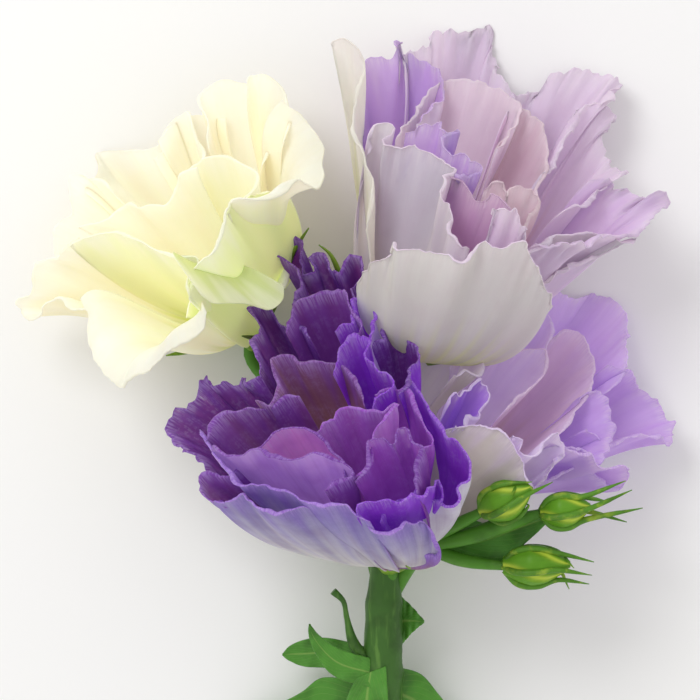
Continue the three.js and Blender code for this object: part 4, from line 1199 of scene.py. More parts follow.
@dataclass(frozen=True)
class Bud:
    """A closed bud: petals twisted into a point, clasped by five awl-shaped lobes."""

    name: str
    foot: tuple[float, float, float]
    tip: tuple[float, float, float]
    radius: float
    lobe_tips: tuple[tuple[float, float, float], ...]
    twist: float = 0.55
    ridges: int = 4
    furrow: float = 0.15
    stripe_width: float = 0.13
    stripe_share: float = 0.85
    rows: int = 44
    sides: int = 72
    lobe_width: float = 0.85
    lobe_steps: int = 40
    lobe_taper: tuple[tuple[float, float], ...] = ((0, 0.9), (0.3, 1), (0.75, 0.65), (1, 0.12))
    clasp: tuple[tuple[float, float], ...] = ((0.03, 0.2), (0.22, 0.85), (0.5, 0.98), (0.78, 0.72))
    profile: tuple[tuple[float, float], ...] = (
        (0, 0.38), (0.08, 0.52), (0.22, 0.8), (0.42, 1), (0.62, 0.88), (0.82, 0.52), (0.95, 0.22), (1, 0),
    )

    @property
    def start(self) -> np.ndarray:
        """Where the bud leaves its stalk, in metres."""
        return seen(np.array(self.foot, float))

    @property
    def length(self) -> float:
        """The bud's length in millimetres."""
        return float(np.linalg.norm(seen(np.array(self.tip, float)) - self.start)) / MM

    @property
    def axis(self) -> np.ndarray:
        """The direction from the bud's foot to its tip."""
        return unit(seen(np.array(self.tip, float)) - self.start)

    def build_body(self) -> bpy.types.Object:
        """Makes the twisted body, green with yellow stripes along its folds.

        Returns:
            The body.
        """
        share = np.linspace(0.0, 1.0, self.rows)[1:-1]
        angles = np.linspace(0, TURN, self.sides, endpoint=False)
        shape = np.interp(share, *zip(*self.profile))
        shape = np.convolve(np.pad(shape, 2, mode="edge"), np.ones(5) / 5, mode="valid")
        fold = (self.ridges * angles[None, :] / TURN + self.twist * share[:, None] * self.ridges / 2) % 1
        relief = 0.1 * np.abs(fold - self.furrow) ** 0.7 - 0.05
        radii = self.radius * shape[:, None] * (0.97 + relief)
        rings, poles = revolved(self.start, self.axis, radii, share * self.length)
        off_furrow = (fold - self.furrow + 0.5) % 1 - 0.5
        stripe = self.stripe_share * np.exp(-((off_furrow / self.stripe_width) ** 2))[..., None]
        paler = smoothstep(0.0, 0.35, 1 - share)[:, None, None] * 0.5
        green = Tint.BUD_GREEN.linear * (0.85 + 0.3 * paler)
        tints = green * (1 - stripe) + Tint.BUD_STRIPE.linear * stripe
        place = pattern(angles[None, :] * self.radius, 0.8 * share[:, None], self.radius)
        skin = Skin()
        skin.add_revolved(rings, poles, tints, place)
        return skin.object(f"{self.name}_body")

    def build_lobes(self, grower: RodGrower, material: bpy.types.Material) -> bpy.types.Object:
        """Makes the five lobes that clasp the body, whose tips stand free of it.

        Args:
            grower: What makes the rods.
            material: What covers them.

        Returns:
            The lobes in one object.
        """
        level, up = across_axis(self.axis)
        lines = []
        for k, tip in enumerate(self.lobe_tips):
            angle = TURN * (k + 0.5) / len(self.lobe_tips)
            out = -math.cos(angle) * level + math.sin(angle) * up
            path = [
                self.start + (along * self.length * self.axis + off * self.radius * out) * MM
                for along, off in self.clasp
            ]
            path.extend(seen(np.array([tip], float)))
            lines.append(tapered(np.array(path), self.lobe_steps, self.lobe_width, self.lobe_taper))
        return grower.grow(f"{self.name}_lobes", lines, material, sides=10, relief=0.12, grain=700.0)


@dataclass(frozen=True)
class Leaf:
    """A leaf between two edges, folded along its midrib and faintly waved."""

    name: str
    left: tuple[tuple[float, float, float], ...]
    right: tuple[tuple[float, float, float], ...]
    fold: float = 0.12
    thickness: float = 0.7
    wave: float = 0.35
    waves: float = 4.2
    columns: int = 28
    rows: int = 70

    def build(self, base: Tint) -> bpy.types.Object:
        """Makes the blade, with the share across and along it as its pattern place.

        Args:
            base: The colour of the blade.

        Returns:
            The blade.
        """
        edges = (curve_through(seen(np.array(edge, float)), self.rows) for edge in (self.left, self.right))
        left, right = (edge[:, None, :] for edge in edges)
        across = np.linspace(0, 1, self.columns + 1)
        grid = left * (1 - across[None, :, None]) + right * across[None, :, None]
        width = np.linalg.norm(right - left, axis=-1)
        share = np.linspace(0, 1, self.rows + 1)
        off_rib = np.abs(2 * across - 1)
        hollow = self.fold * width * (1 - off_rib**1.3)[None, :]
        ripple = np.sin(TURN * share * self.waves + 1.3)[:, None] * off_rib[None, :] ** 2
        tip = smoothstep(0, 0.12, share) * smoothstep(0, 0.12, 1 - share)
        grid[..., 2] += -hollow + self.wave * MM * ripple * tip[:, None]
        up = np.cross(np.gradient(grid, axis=1), np.gradient(grid, axis=0))
        up = np.where(np.linalg.norm(up, axis=-1, keepdims=True) < 1e-14, np.array((0, 0, 1.0)), up)
        normals = unit(up)
        normals *= np.sign(normals[len(share) // 2, self.columns // 4, 2]) or 1.0
        thickness = (self.thickness * MM) * (1 - 0.55 * off_rib**4)[None, :]
        thickness = np.repeat(thickness, len(share), axis=0)
        place = pattern(across[None, :], share[:, None], 0.0)
        tint = np.tile(base.linear, (*grid.shape[:2], 1))
        skin = Skin()
        skin.add_sheet(grid, normals, thickness, (tint, tint * 0.8), place)
        return skin.object(f"{self.name}_blade")


@dataclass(frozen=True)
class Stems:
    """The bundle of stems: the main stem with its joints, its stalks and its cut end."""

    main: RodPath
    stalks: tuple[RodPath, ...]
    stub: RodPath
    joints: tuple[float, ...] = (-62.0, -80.0, -118.0)
    joint_reach: float = 2.2
    swelling: float = 0.1
    cut_sides: int = 40
    cut_profile: tuple[tuple[float, float], ...] = (
        (0.35, -0.25), (0.8, -0.2), (0.94, -0.05), (0.9, 0.12), (0.7, 0.1), (0.4, 0.02), (0.12, -0.05),
    )

    def main_line(self) -> np.ndarray:
        """Swells the main stem a little at its joints.

        Returns:
            Its points in metres, each with the radius there.
        """
        line = self.main.line()
        along = line[:, 1] / MM + ORIGIN[1]
        for joint in self.joints:
            line[:, 3] *= 1 + self.swelling * np.exp(-(((along - joint) / self.joint_reach) ** 2))
        return line

    def build_cut_face(self) -> bpy.types.Object:
        """Makes the pale disc of the freshly cut end, with its ring of fibres.

        Returns:
            The disc.
        """
        line = self.main.line()
        end, axis, radius = line[-1, :3], unit(line[-1, :3] - line[-2, :3]), line[-1, 3] / MM
        angles = np.linspace(0, TURN, self.cut_sides, endpoint=False)
        rows = np.array(self.cut_profile)
        radii = radius * rows[:, :1] * (1 + 0.015 * np.cos(7 * angles))[None, :]
        rings, poles = revolved(end, axis, radii, rows[:, 1])
        skin = Skin()
        skin.add_revolved(rings, poles, Tint.STEM_STREAK.linear, np.array((0.0, 0.5, 4.0)))
        return skin.object("stem_cut_face")


VIOLET_PETALS = (
    Petal("tall back petal with a jagged tip", Rise.UPRIGHT, Tint.DEEP_VIOLET, Tint.DEEP_VIOLET,
          heights=(38, 34, 31, 33, 36, 38, 42),
          rim=((-14, 10), (-13, 17.5), (-14.5, 22.5), (-15.5, 26.3), (-12.5, 26.3), (-10.5, 19.5),
               (-9.8, 23.3), (-8, 24), (-5, 18), (-2.5, 20), (1.3, 21), (1.8, 16.3), (1.3, 12.5), (0, 5))),
    Petal("back petal on the left", Rise.UPRIGHT, Tint.DEEP_VIOLET, Tint.PLUM,
          heights=(52, 46, 40, 36, 36, 40, 44), ruffle=0.7,
          rim=((-22, -7), (-22.8, -1.3), (-23.8, 2.5), (-22.5, 5.5), (-24.3, 10.5), (-22, 9), (-20, 10),
               (-17.5, 7), (-15, 5), (-12.5, 5), (-10, 3))),
    Petal("middle layer at the back", Rise.UPRIGHT, Tint.PLUM, Tint.PLUM,
          heights=(46, 42, 42, 44, 48), ruffle=0.6,
          rim=((-16, 4), (-15.5, 8), (-13, 12), (-8.8, 12.5), (-5, 13.5), (-1.3, 14.3), (0, 11), (2, 4))),
    Petal("curl at the top right", Rise.UPRIGHT, Tint.BRIGHT_VIOLET, Tint.FROST_AND_HIGHLIGHT_VIOLET,
          heights=(48, 44, 44, 48, 52),
          rim=((-4, 5), (0, 8), (1.3, 12.5), (3, 12.5), (4.5, 11), (4.8, 6.3), (6, 2.5), (5, -2))),
    Petal("dark petal at the upper right", Rise.UPRIGHT, Tint.DEEP_VIOLET, Tint.BRIGHT_VIOLET,
          heights=(48, 46, 46, 50, 56, 60),
          rim=((5, 1), (7.5, 2), (8.8, 3.8), (10.8, 5), (13.8, 3), (16.3, 0), (15.5, -3.8), (15, -7),
               (13.8, -9.5), (12, -11))),
    Petal("folded petal at the upper right", Rise.UPRIGHT, Tint.BRIGHT_VIOLET, Tint.BRIGHT_VIOLET,
          heights=(56, 55, 54, 56, 58, 61),
          rim=((-3.8, -6.3), (-3, -2), (-1.3, 1.3), (1.3, 3.3), (5.5, 1.8), (4, -1.5), (6.3, -4.3),
               (8.8, -7.5), (7, -10.5), (5.5, -15))),
    Petal("inner back petal", Rise.INNER, Tint.PLUM, Tint.PLUM,
          heights=(60, 58, 54, 51, 52, 54, 60), ruffle=0.4, hearts=(Tint.OLIVE_HEART, Tint.OLIVE_HEART),
          reach=3.1,
          rim=((-23.8, -12.5), (-20, -14.3), (-17, -9.5), (-18.8, -6), (-20, -3), (-18.5, -1.8),
               (-16.5, -2), (-12.5, -3.8), (-7.5, -3.5), (-2.5, -4), (0.5, -7.5), (3.8, -14.5))),
    Petal("inner petal on the left", Rise.INNER, Tint.PLUM, Tint.DEEP_VIOLET,
          heights=(60, 57, 57, 58, 58), ruffle=0.35, reach=2.0,
          rim=((-36, -23), (-33.8, -19.5), (-32, -17.5), (-28.8, -15.5), (-23.8, -14.5), (-20, -14.5),
               (-16.3, -13), (-12.5, -11.8))),
    Petal("frilled outer petal on the left", Rise.SPREADING, Tint.DEEP_VIOLET, Tint.SLATE_VIOLET,
          heights=(48, 45, 43, 40, 38, 40, 46, 52),
          rim=((-22, -6.3), (-25.8, -9.5), (-28.8, -10), (-31.3, -7.5), (-33.8, -8.8), (-35.8, -7),
               (-37.5, -10), (-39.5, -13.8), (-43.8, -15.5), (-44.8, -17.5), (-44.5, -20.5), (-43, -23.3),
               (-40.5, -25.8), (-37.5, -28), (-35.8, -31.3))),
    Petal("small outer petal at the lower left", Rise.UPRIGHT, Tint.PLUM, Tint.FROSTED_BLUE,
          heights=(64, 60, 55, 52, 54, 60), ruffle=0.6, reach=1.8,
          rim=((-24, -28), (-28.5, -30.5), (-32, -32), (-35.8, -31.5), (-37, -33), (-36.8, -35.5),
               (-35.5, -37.5), (-33, -38.3), (-28.8, -38))),
    Petal("magenta petal on the right", Rise.UPRIGHT, Tint.MAGENTA_VIOLET, Tint.MAGENTA_VIOLET,
          heights=(60, 57, 60, 66, 70), ruffle=0.5,
          rim=((6.3, -11.3), (8.8, -10), (12, -9.5), (14.3, -10), (15.5, -13), (17.5, -17.5), (19.8, -23.3),
               (17, -23.8), (13.8, -21.8))),
    Petal("inner tongue", Rise.INNER, Tint.PLUM, Tint.TONGUE,
          heights=(66, 70, 72, 74, 77), ruffle=0.3, hearts=(Tint.OLIVE_HEART, Tint.PLUM),
          rim=((-25, -25.5), (-21.3, -21.8), (-17.5, -20), (-12.5, -19.5), (-8.8, -20.8), (-6.3, -22.5),
               (-3.8, -25.5), (-1.3, -28), (-1.3, -32.5))),
    Petal("broad tongue in front of it", Rise.UPRIGHT, Tint.PLUM, Tint.FROSTED_TONGUE,
          heights=(62, 68, 73, 77, 79, 80, 80), ruffle=0.3, hearts=(Tint.OLIVE_HEART, Tint.PLUM),
          rim=((-34.5, -26), (-33.8, -23.8), (-30, -26.5), (-23.8, -25), (-18.8, -25.5), (-15, -27.5),
               (-12.5, -27), (-8.8, -25.5), (-2.5, -28), (0.5, -30.5), (-2.5, -34), (-6.3, -35.5))),
    Petal("curled petal at the right of the throat", Rise.INNER, Tint.MAGENTA_VIOLET, Tint.ORCHID,
          heights=(70, 67, 67, 70, 75, 79), ruffle=0.5, hearts=(Tint.OLIVE_HEART, Tint.PLUM),
          rim=((-8.3, -20.5), (-3.8, -17.5), (0, -15.5), (3.8, -15.3), (8.8, -15.5), (11.8, -13.8),
               (8.8, -17.5), (5, -21.3), (3.8, -28.8), (1.3, -32.5))),
    Petal("lower petal on the right", Rise.UPRIGHT, Tint.PLUM, Tint.MAGENTA_VIOLET,
          heights=(80, 78, 77, 77, 78, 78), ruffle=0.5, hearts=(Tint.OLIVE_HEART, Tint.PLUM),
          rim=((1.3, -33), (3.8, -28.8), (4.3, -22.5), (8.8, -22.5), (11.3, -25), (12.5, -20.8),
               (16.3, -22.5), (18.8, -24.3), (18, -30), (17, -36))),
    Petal("outer petal on the right", Rise.UPRIGHT, Tint.BRIGHT_VIOLET, Tint.SILVER_VIOLET,
          heights=(52, 56, 62, 66, 66, 66, 68, 72), ruffle=0.6,
          rim=((13, -10), (15.5, -8.8), (20, -15.5), (24.3, -21.8), (30, -28.3), (26.8, -33.8),
               (27.5, -37.5), (25.8, -39), (21.3, -37.5), (16, -37))),
    Petal("bright lip at the lower right", Rise.INNER, Tint.BRIGHT_VIOLET, Tint.BRIGHT_VIOLET,
          heights=(84, 83, 80, 74, 68, 72, 78),
          rim=((2, -42), (3, -38.8), (6.3, -37.5), (10, -36.8), (14.5, -36), (18.5, -35.4), (22.2, -33.2),
               (21, -37.5), (16.3, -37.5), (12.5, -38), (9.5, -40), (7.5, -43))),
    Petal("front lip", Rise.UPRIGHT, Tint.BLUE_VIOLET, Tint.FROSTED_BLUE,
          heights=(54, 60, 68, 74, 79, 82, 83, 84), ruffle=0.5, reach=2.0,
          rim=((-37.5, -20), (-36.3, -21.3), (-34.5, -25), (-31.3, -28.8), (-26.3, -32.5), (-21.3, -34.3),
               (-17.5, -35.5), (-11.3, -37.5), (-7.5, -38), (-1.3, -38.3), (1.3, -41.3), (5, -43))),
    Petal("lowest outer petal", Rise.UPRIGHT, Tint.BLUE_VIOLET, Tint.FROSTED_BLUE,
          heights=(58, 66, 72, 76, 78, 76, 70, 60), ruffle=0.4, reach=2.3,
          rim=((-34, -38), (-30, -37.5), (-26.8, -36), (-25, -38), (-18.8, -40.3), (-12.5, -39.5),
               (-6.3, -40), (-1.3, -42.5), (2.5, -46.3), (4.5, -50))),
    Petal("frilled petal at the lower right", Rise.UPRIGHT, Tint.BLUE_VIOLET, Tint.FROSTED_BLUE,
          heights=(82, 80, 77, 73, 68, 62, 56, 46), ruffle=0.7, reach=2.3,
          rim=((0.5, -40.5), (3.8, -42.5), (7.5, -44), (12.5, -43.8), (16.3, -43.8), (18, -42.8), (20, -45),
               (22.5, -50), (21, -52), (18.8, -50.8), (13.8, -51.6), (8.5, -53.5))),
)

PALE_PETALS = (
    Petal("top petal", Rise.SPREADING, Tint.LILAC, Tint.LILAC,
          heights=(14, 6, 2, 0, 0, 3, 8, 18),
          rim=((13.8, 68.8), (14.5, 73.8), (18.8, 75.3), (20, 78.5), (23.8, 79.5), (27.5, 80), (32.5, 80.5),
               (33.8, 81.5), (35.8, 79.5), (35, 75), (36.8, 71), (35.8, 69.5), (38.3, 67.3), (40.5, 63),
               (38.8, 58.8))),
    Petal("upper left petal", Rise.SPREADING, Tint.BRIGHT_LAVENDER, Tint.LILAC,
          heights=(28, 20, 13, 9, 10, 16, 26), ruffle=0.6,
          rim=((1.3, 53.8), (2.5, 58.8), (3, 65), (4, 71.5), (6.3, 72.8), (10.3, 72.5), (11, 76.5),
               (13.3, 77), (13.3, 74.5), (18.8, 72), (22.5, 68.8), (23.8, 63.8), (20, 60), (16.3, 56.3))),
    Petal("upper right petal", Rise.SPREADING, Tint.LILAC, Tint.LILAC,
          heights=(12, 6, 3, 4, 8, 16, 26, 36),
          rim=((38.8, 61.3), (40.5, 63.5), (45, 63.8), (47.5, 65), (50, 68.8), (53.8, 68.3), (57.5, 70),
               (60, 69), (63.8, 69.3), (67.3, 66.5), (65, 64.8), (60.5, 61.8), (58.3, 58.8), (55, 55),
               (51.3, 50), (48.8, 45), (47.8, 42))),
    Petal("upper petal on the right", Rise.SPREADING, Tint.LILAC, Tint.LILAC,
          heights=(14, 9, 12, 18, 26, 32, 38), reach=1.5,
          rim=((56.3, 57.5), (60.5, 61.5), (62.5, 60.8), (64.3, 59.3), (65.5, 56.8), (63, 53), (62.5, 51),
               (63.8, 48.8), (65.8, 44.5), (68.5, 44.5), (67, 42.5), (63.8, 40.8), (60, 38.8), (55.8, 36.3),
               (52.5, 33.8))),
    Petal("pointed petal on the right", Rise.SPREADING, Tint.COOL_LILAC, Tint.LILAC,
          heights=(30, 30, 30, 32, 38, 46, 54),
          rim=((60, 42.5), (63.5, 42.5), (67, 40), (68.8, 40), (72.5, 38), (75, 37.5), (77.5, 38.5),
               (79.3, 36.8), (76.3, 34.3), (73.8, 32), (70.8, 29.5), (66.3, 28), (60, 27.5), (52.5, 27),
               (46.3, 26.3))),
    Petal("round inner petal at the back", Rise.INNER, Tint.ROSE_WHITE, Tint.LILAC,
          heights=(32, 24, 17, 14, 16, 22, 28), ruffle=0.6, reach=1.3,
          rim=((11.3, 52.5), (13.8, 55.5), (15.5, 57), (17.5, 60), (18.8, 63), (21.3, 65.5), (25, 67),
               (28.8, 67.3), (32.5, 66.5), (37.5, 64.5), (41.3, 61.3), (42.5, 57.5), (40, 53.8),
               (36.3, 50))),
    Petal("inner petal on the right", Rise.INNER, Tint.ROSE_MAUVE, Tint.LILAC,
          heights=(24, 18, 20, 28, 36, 44), ruffle=0.6, reach=1.6,
          rim=((36.3, 50), (41.3, 55), (42.5, 60), (45, 58), (48, 56.3), (48.8, 51.3), (48.3, 46.3),
               (47.8, 42.5), (45.8, 38.3), (42.5, 40))),
    Petal("long petal on the left, its tip curled out", Rise.CURLED, Tint.BLUSH_WHITE, Tint.BLUSH_WHITE,
          heights=(44, 46, 45, 41, 37, 31, 27, 26, 25, 24, 21, 17, 14), ruffle=0.3,
          hearts=(Tint.LEAF_HEART, Tint.LEAF_HEART), reach=2.0,
          rim=((4, 29.8), (6, 36.6), (5.7, 42.3), (2.8, 50.4), (1.1, 55), (2, 63.5), (3.7, 71), (2, 75.5),
               (-1.5, 77.5), (-4.6, 76.8), (-0.5, 70), (2.5, 60), (5, 50))),
    Petal("twisted little petal in the throat", Rise.INNER, Tint.BRIGHT_LAVENDER, Tint.BRIGHT_LAVENDER,
          heights=(40, 44, 48, 52, 54),
          rim=((13.8, 53.8), (18.8, 56), (21.5, 56.5), (23.3, 54.5), (27.5, 54.3), (24.5, 52), (25, 48.8),
               (28.8, 48.3), (32, 46), (32.5, 43.5), (29.5, 42.5), (26.3, 44.5))),
    Petal("inner petal in the middle", Rise.UPRIGHT, Tint.MAUVE, Tint.MAUVE,
          heights=(52, 54, 56, 58, 58, 56), ruffle=0.4, reach=1.6,
          rim=((24.5, 42.5), (25, 43.8), (27.5, 42), (29.3, 40), (31.3, 37), (33.8, 37), (35.5, 39.3),
               (37.5, 38), (39.5, 36.3), (40.5, 33.8), (38.8, 27.5), (35, 26.3))),
    Petal("frill on the right of the throat", Rise.UPRIGHT, Tint.ROSE_MAUVE, Tint.ROSE_MAUVE,
          heights=(50, 50, 53, 50, 48, 52),
          rim=((33.5, 40.5), (36.3, 41.8), (38.3, 40.5), (39.3, 37.5), (40, 38.8), (43, 40.5), (45.8, 38.5),
               (47.5, 36.3), (45, 31.3), (44, 26.3))),
    Petal("pale flap above the front petals", Rise.UPRIGHT, Tint.LILAC, Tint.LILAC,
          heights=(62, 64, 64, 62, 58),
          rim=((35, 28.8), (35.5, 35), (38.8, 35.5), (41.3, 34.5), (43, 31.3), (44, 27.5), (43, 24))),
    Petal("front petal on the left", Rise.CUPPED, Tint.LILAC, Tint.SILVER_LILAC,
          heights=(36, 40, 42, 44, 50, 56, 62, 64), ruffle=0.6,
          rim=((2.5, 40), (3, 46.3), (4.5, 50), (5, 54.3), (8.8, 56.3), (10.5, 55.5), (9.5, 51.3),
               (13.5, 50.5), (16.3, 50.8), (18.8, 49.5), (23.8, 47), (26.3, 44.5), (24.3, 43), (23.3, 37.5),
               (25, 33.8), (25.8, 30), (28.3, 27), (30, 25))),
    Petal("outer petal on the lower right", Rise.SPREADING, Tint.LILAC, Tint.SILVER_LILAC,
          heights=(56, 52, 48, 42, 38, 38, 40, 42), ruffle=0.6,
          rim=((43, 23), (44.5, 24.8), (48.8, 27.5), (51.3, 28.8), (55, 28.3), (58.8, 28.8), (62.5, 29),
               (66.3, 28.5), (71.5, 28), (67.5, 26.3), (62.5, 24.5), (58.8, 22.5), (55, 20.5), (50, 16.8))),
    Petal("broad outer petal at the front", Rise.CUPPED, Tint.LILAC, Tint.GREY_WHITE,
          heights=(42, 50, 58, 63, 67, 69, 69, 69, 67, 62, 54, 44), ruffle=0.5, reach=1.5,
          rim=((1.8, 13), (2.5, 18), (3.8, 20), (6.3, 22), (9.5, 23), (11.8, 26.3), (12.5, 25),
               (16.3, 25.5), (18.8, 24.5), (22.5, 24), (26.8, 21.8), (29.3, 22), (31.3, 25), (33.8, 26.8),
               (38.3, 25.5), (43, 27.5), (44.5, 23.8), (46.3, 20.5), (48.8, 15.8), (50, 13.3), (49, 9))),
)

CREAM_PETALS = (
    Petal("top back petal", Rise.SPREADING, Tint.IVORY, Tint.CREAM_BACK,
          heights=(30, 20, 17, 18, 22, 36), ruffle=0.35,
          rim=((-36, 53), (-35.5, 57.5), (-36.8, 62.5), (-35, 65.5), (-32, 67.3), (-28.8, 66.8),
               (-25, 65.8), (-23, 63.8), (-21.3, 60), (-20, 56), (-20.5, 51), (-22, 46))),
    Petal("second top petal", Rise.SPREADING, Tint.IVORY_SHADE, Tint.CREAM_BACK,
          heights=(26, 22, 24, 30, 40), ruffle=0.35,
          rim=((-25.5, 65), (-25.3, 67.8), (-23.8, 68.3), (-21.5, 68.5), (-18.8, 66.8), (-17, 64.5),
               (-16, 61), (-15.5, 57.5), (-16.3, 52.5))),
    Petal("small back petal", Rise.SPREADING, Tint.IVORY, Tint.CREAM_BACK,
          heights=(20, 16, 16, 20), ruffle=0.35,
          rim=((-48, 52), (-44, 56), (-40, 58), (-37.5, 58.3), (-34, 57.5), (-31, 58))),
    Petal("peaked petal", Rise.SPREADING, Tint.BLUSH_IVORY, Tint.CREAM_BACK,
          heights=(20, 16, 18, 24, 34), ruffle=0.35,
          rim=((-49, 47.5), (-46.3, 50), (-46.3, 53.8), (-45, 56.3), (-43, 58), (-40.8, 59.3),
               (-39.5, 56.3), (-38.3, 52.5), (-36.8, 48.8), (-37.5, 45.8))),
    Petal("upper left petal, its upper half", Rise.SPREADING, Tint.IVORY, Tint.CREAM_BACK,
          heights=(12, 1, -2, 1, 10, 18), ruffle=0.35,
          rim=((-66, 39), (-65, 42.5), (-63.8, 43), (-63, 45.5), (-63.8, 48), (-63, 49.3), (-55, 49.5),
               (-50, 50), (-47.5, 51.3), (-44.5, 52.5))),
    Petal("upper left petal, its lower half", Rise.SPREADING, Tint.IVORY, Tint.CREAM_BACK,
          heights=(28, 20, 13, 10, 8, 14), ruffle=0.35,
          rim=((-73.3, 22), (-73.8, 27.5), (-73, 30.5), (-71.3, 32.5), (-69.3, 33.8), (-69.5, 37.5),
               (-70, 41.3), (-69.8, 43.3), (-67.5, 43.5), (-65, 42.5), (-62, 41.5), (-58, 38))),
    Petal("inner petal with a ruffled edge", Rise.SPREADING, Tint.IVORY, Tint.BUTTER,
          heights=(28, 30, 34, 36, 40), ruffle=0.45,
          rim=((-68, 30.5), (-63, 32), (-59.3, 33.3), (-56.3, 35), (-54.5, 35.8), (-52.5, 34.8),
               (-50, 35.5), (-46.3, 35.3), (-44.5, 36.8), (-43, 41.3), (-42.3, 43.8), (-40, 44.8),
               (-38, 45.8))),
    Petal("inner petal in the middle", Rise.INNER, Tint.BUTTER, Tint.BUTTER,
          heights=(36, 40, 44, 50, 58), ruffle=0.35,
          rim=((-41.3, 44), (-38, 46.3), (-36.3, 48), (-31.3, 48.3), (-27.5, 46.3), (-23.8, 43.8),
               (-24.5, 40.5), (-26.3, 38.3), (-28.8, 36.3), (-30.5, 33.8))),
    Petal("long petal on the left", Rise.SPREADING, Tint.IVORY_SHADE, Tint.CREAM_BACK,
          heights=(36, 30, 26, 20, 22, 30, 40),
          rim=((-67.5, 28), (-72, 25), (-73.3, 22), (-76.3, 21), (-78.3, 20), (-78.5, 17.5), (-79, 15),
               (-83.3, 13), (-82.5, 10.5), (-80.5, 8.8), (-78.8, 8.8), (-76.8, 10), (-76.5, 12),
               (-72.5, 12.5), (-70, 11.3), (-66.3, 10.3), (-62.5, 12))),
    Petal("inner petal at the front", Rise.UPRIGHT, Tint.BUTTER, Tint.LEMON_GREEN,
          heights=(36, 42, 47, 52, 56, 58), ruffle=0.5,
          rim=((-70, 26), (-67.5, 27.5), (-63.8, 28.8), (-57.5, 29.5), (-53.8, 28), (-50, 25.8),
               (-46.3, 24.5), (-42.5, 23.5), (-38, 23), (-38.3, 18.8), (-40, 13))),
    Petal("big petal at the front, hanging over", Rise.REFLEXED, Tint.IVORY, Tint.IVORY_SHADE,
          heights=(40, 42, 46, 50, 52, 54, 56),
          rim=((-67.5, 12.8), (-65.8, 9.5), (-65.5, 5), (-64.3, 0), (-63, -3), (-61.5, -5.5), (-59.5, -7.3),
               (-57.5, -9), (-56.3, -7), (-53.8, -5.8), (-50.8, -4.8), (-48, -2.5), (-45.5, -0.5),
               (-43, 1.3), (-40, 3), (-37.3, 5.5), (-36, 9.5))),
    Petal("right wall of the cup", Rise.CUPPED, Tint.BUTTER, Tint.LIME_BACK,
          heights=(40, 50, 56, 60, 61, 60, 58),
          rim=((-16.3, 40), (-20, 39), (-24.5, 38.5), (-28, 38), (-30, 36.8), (-31, 33.5), (-32, 30),
               (-33.8, 27.5), (-35.5, 25), (-37.5, 22.5), (-38.8, 18.8), (-40, 12.5))),
    # The lip's outer face is painted a darker sage: painted shade on the hanging lip.
    Petal("rolled lip on the lower right", Rise.HANGING, Tint.BUTTER, Tint.SAGE,
          heights=(60, 58, 55, 52, 50, 50), ruffle=0.2, roll=0.3,
          rim=((-37.5, 14), (-34.5, 12), (-30, 12), (-26.4, 12), (-22.5, 11), (-19.8, 10.4), (-17.2, 12.5),
               (-16.5, 16))),
    Petal("front wall under the lip", Rise.SPREADING, Tint.BUTTER, Tint.LIME_BACK,
          heights=(50, 51, 49, 44, 36, 28), ruffle=0.3,
          rim=((-41, 8), (-40, 12), (-35.8, 16.5), (-33, 19), (-27, 19.5), (-21.5, 17.5), (-18, 15),
               (-16, 22))),
    Petal("petal turned back on the right", Rise.REFLEXED, Tint.BLUSH_IVORY, Tint.IVORY_SHADE,
          heights=(32, 36, 42, 46, 50, 56, 60), ruffle=0.35,
          rim=((-17, 62.5), (-16, 61), (-13, 59), (-10, 55.5), (-7.5, 51.8), (-6.8, 49.5), (-7.3, 46.3),
               (-6.8, 43.8), (-8.5, 40.5), (-11.3, 41.8), (-13.3, 42.5), (-16.3, 40), (-20, 38.5),
               (-23.8, 38), (-26.3, 37.8))),
)

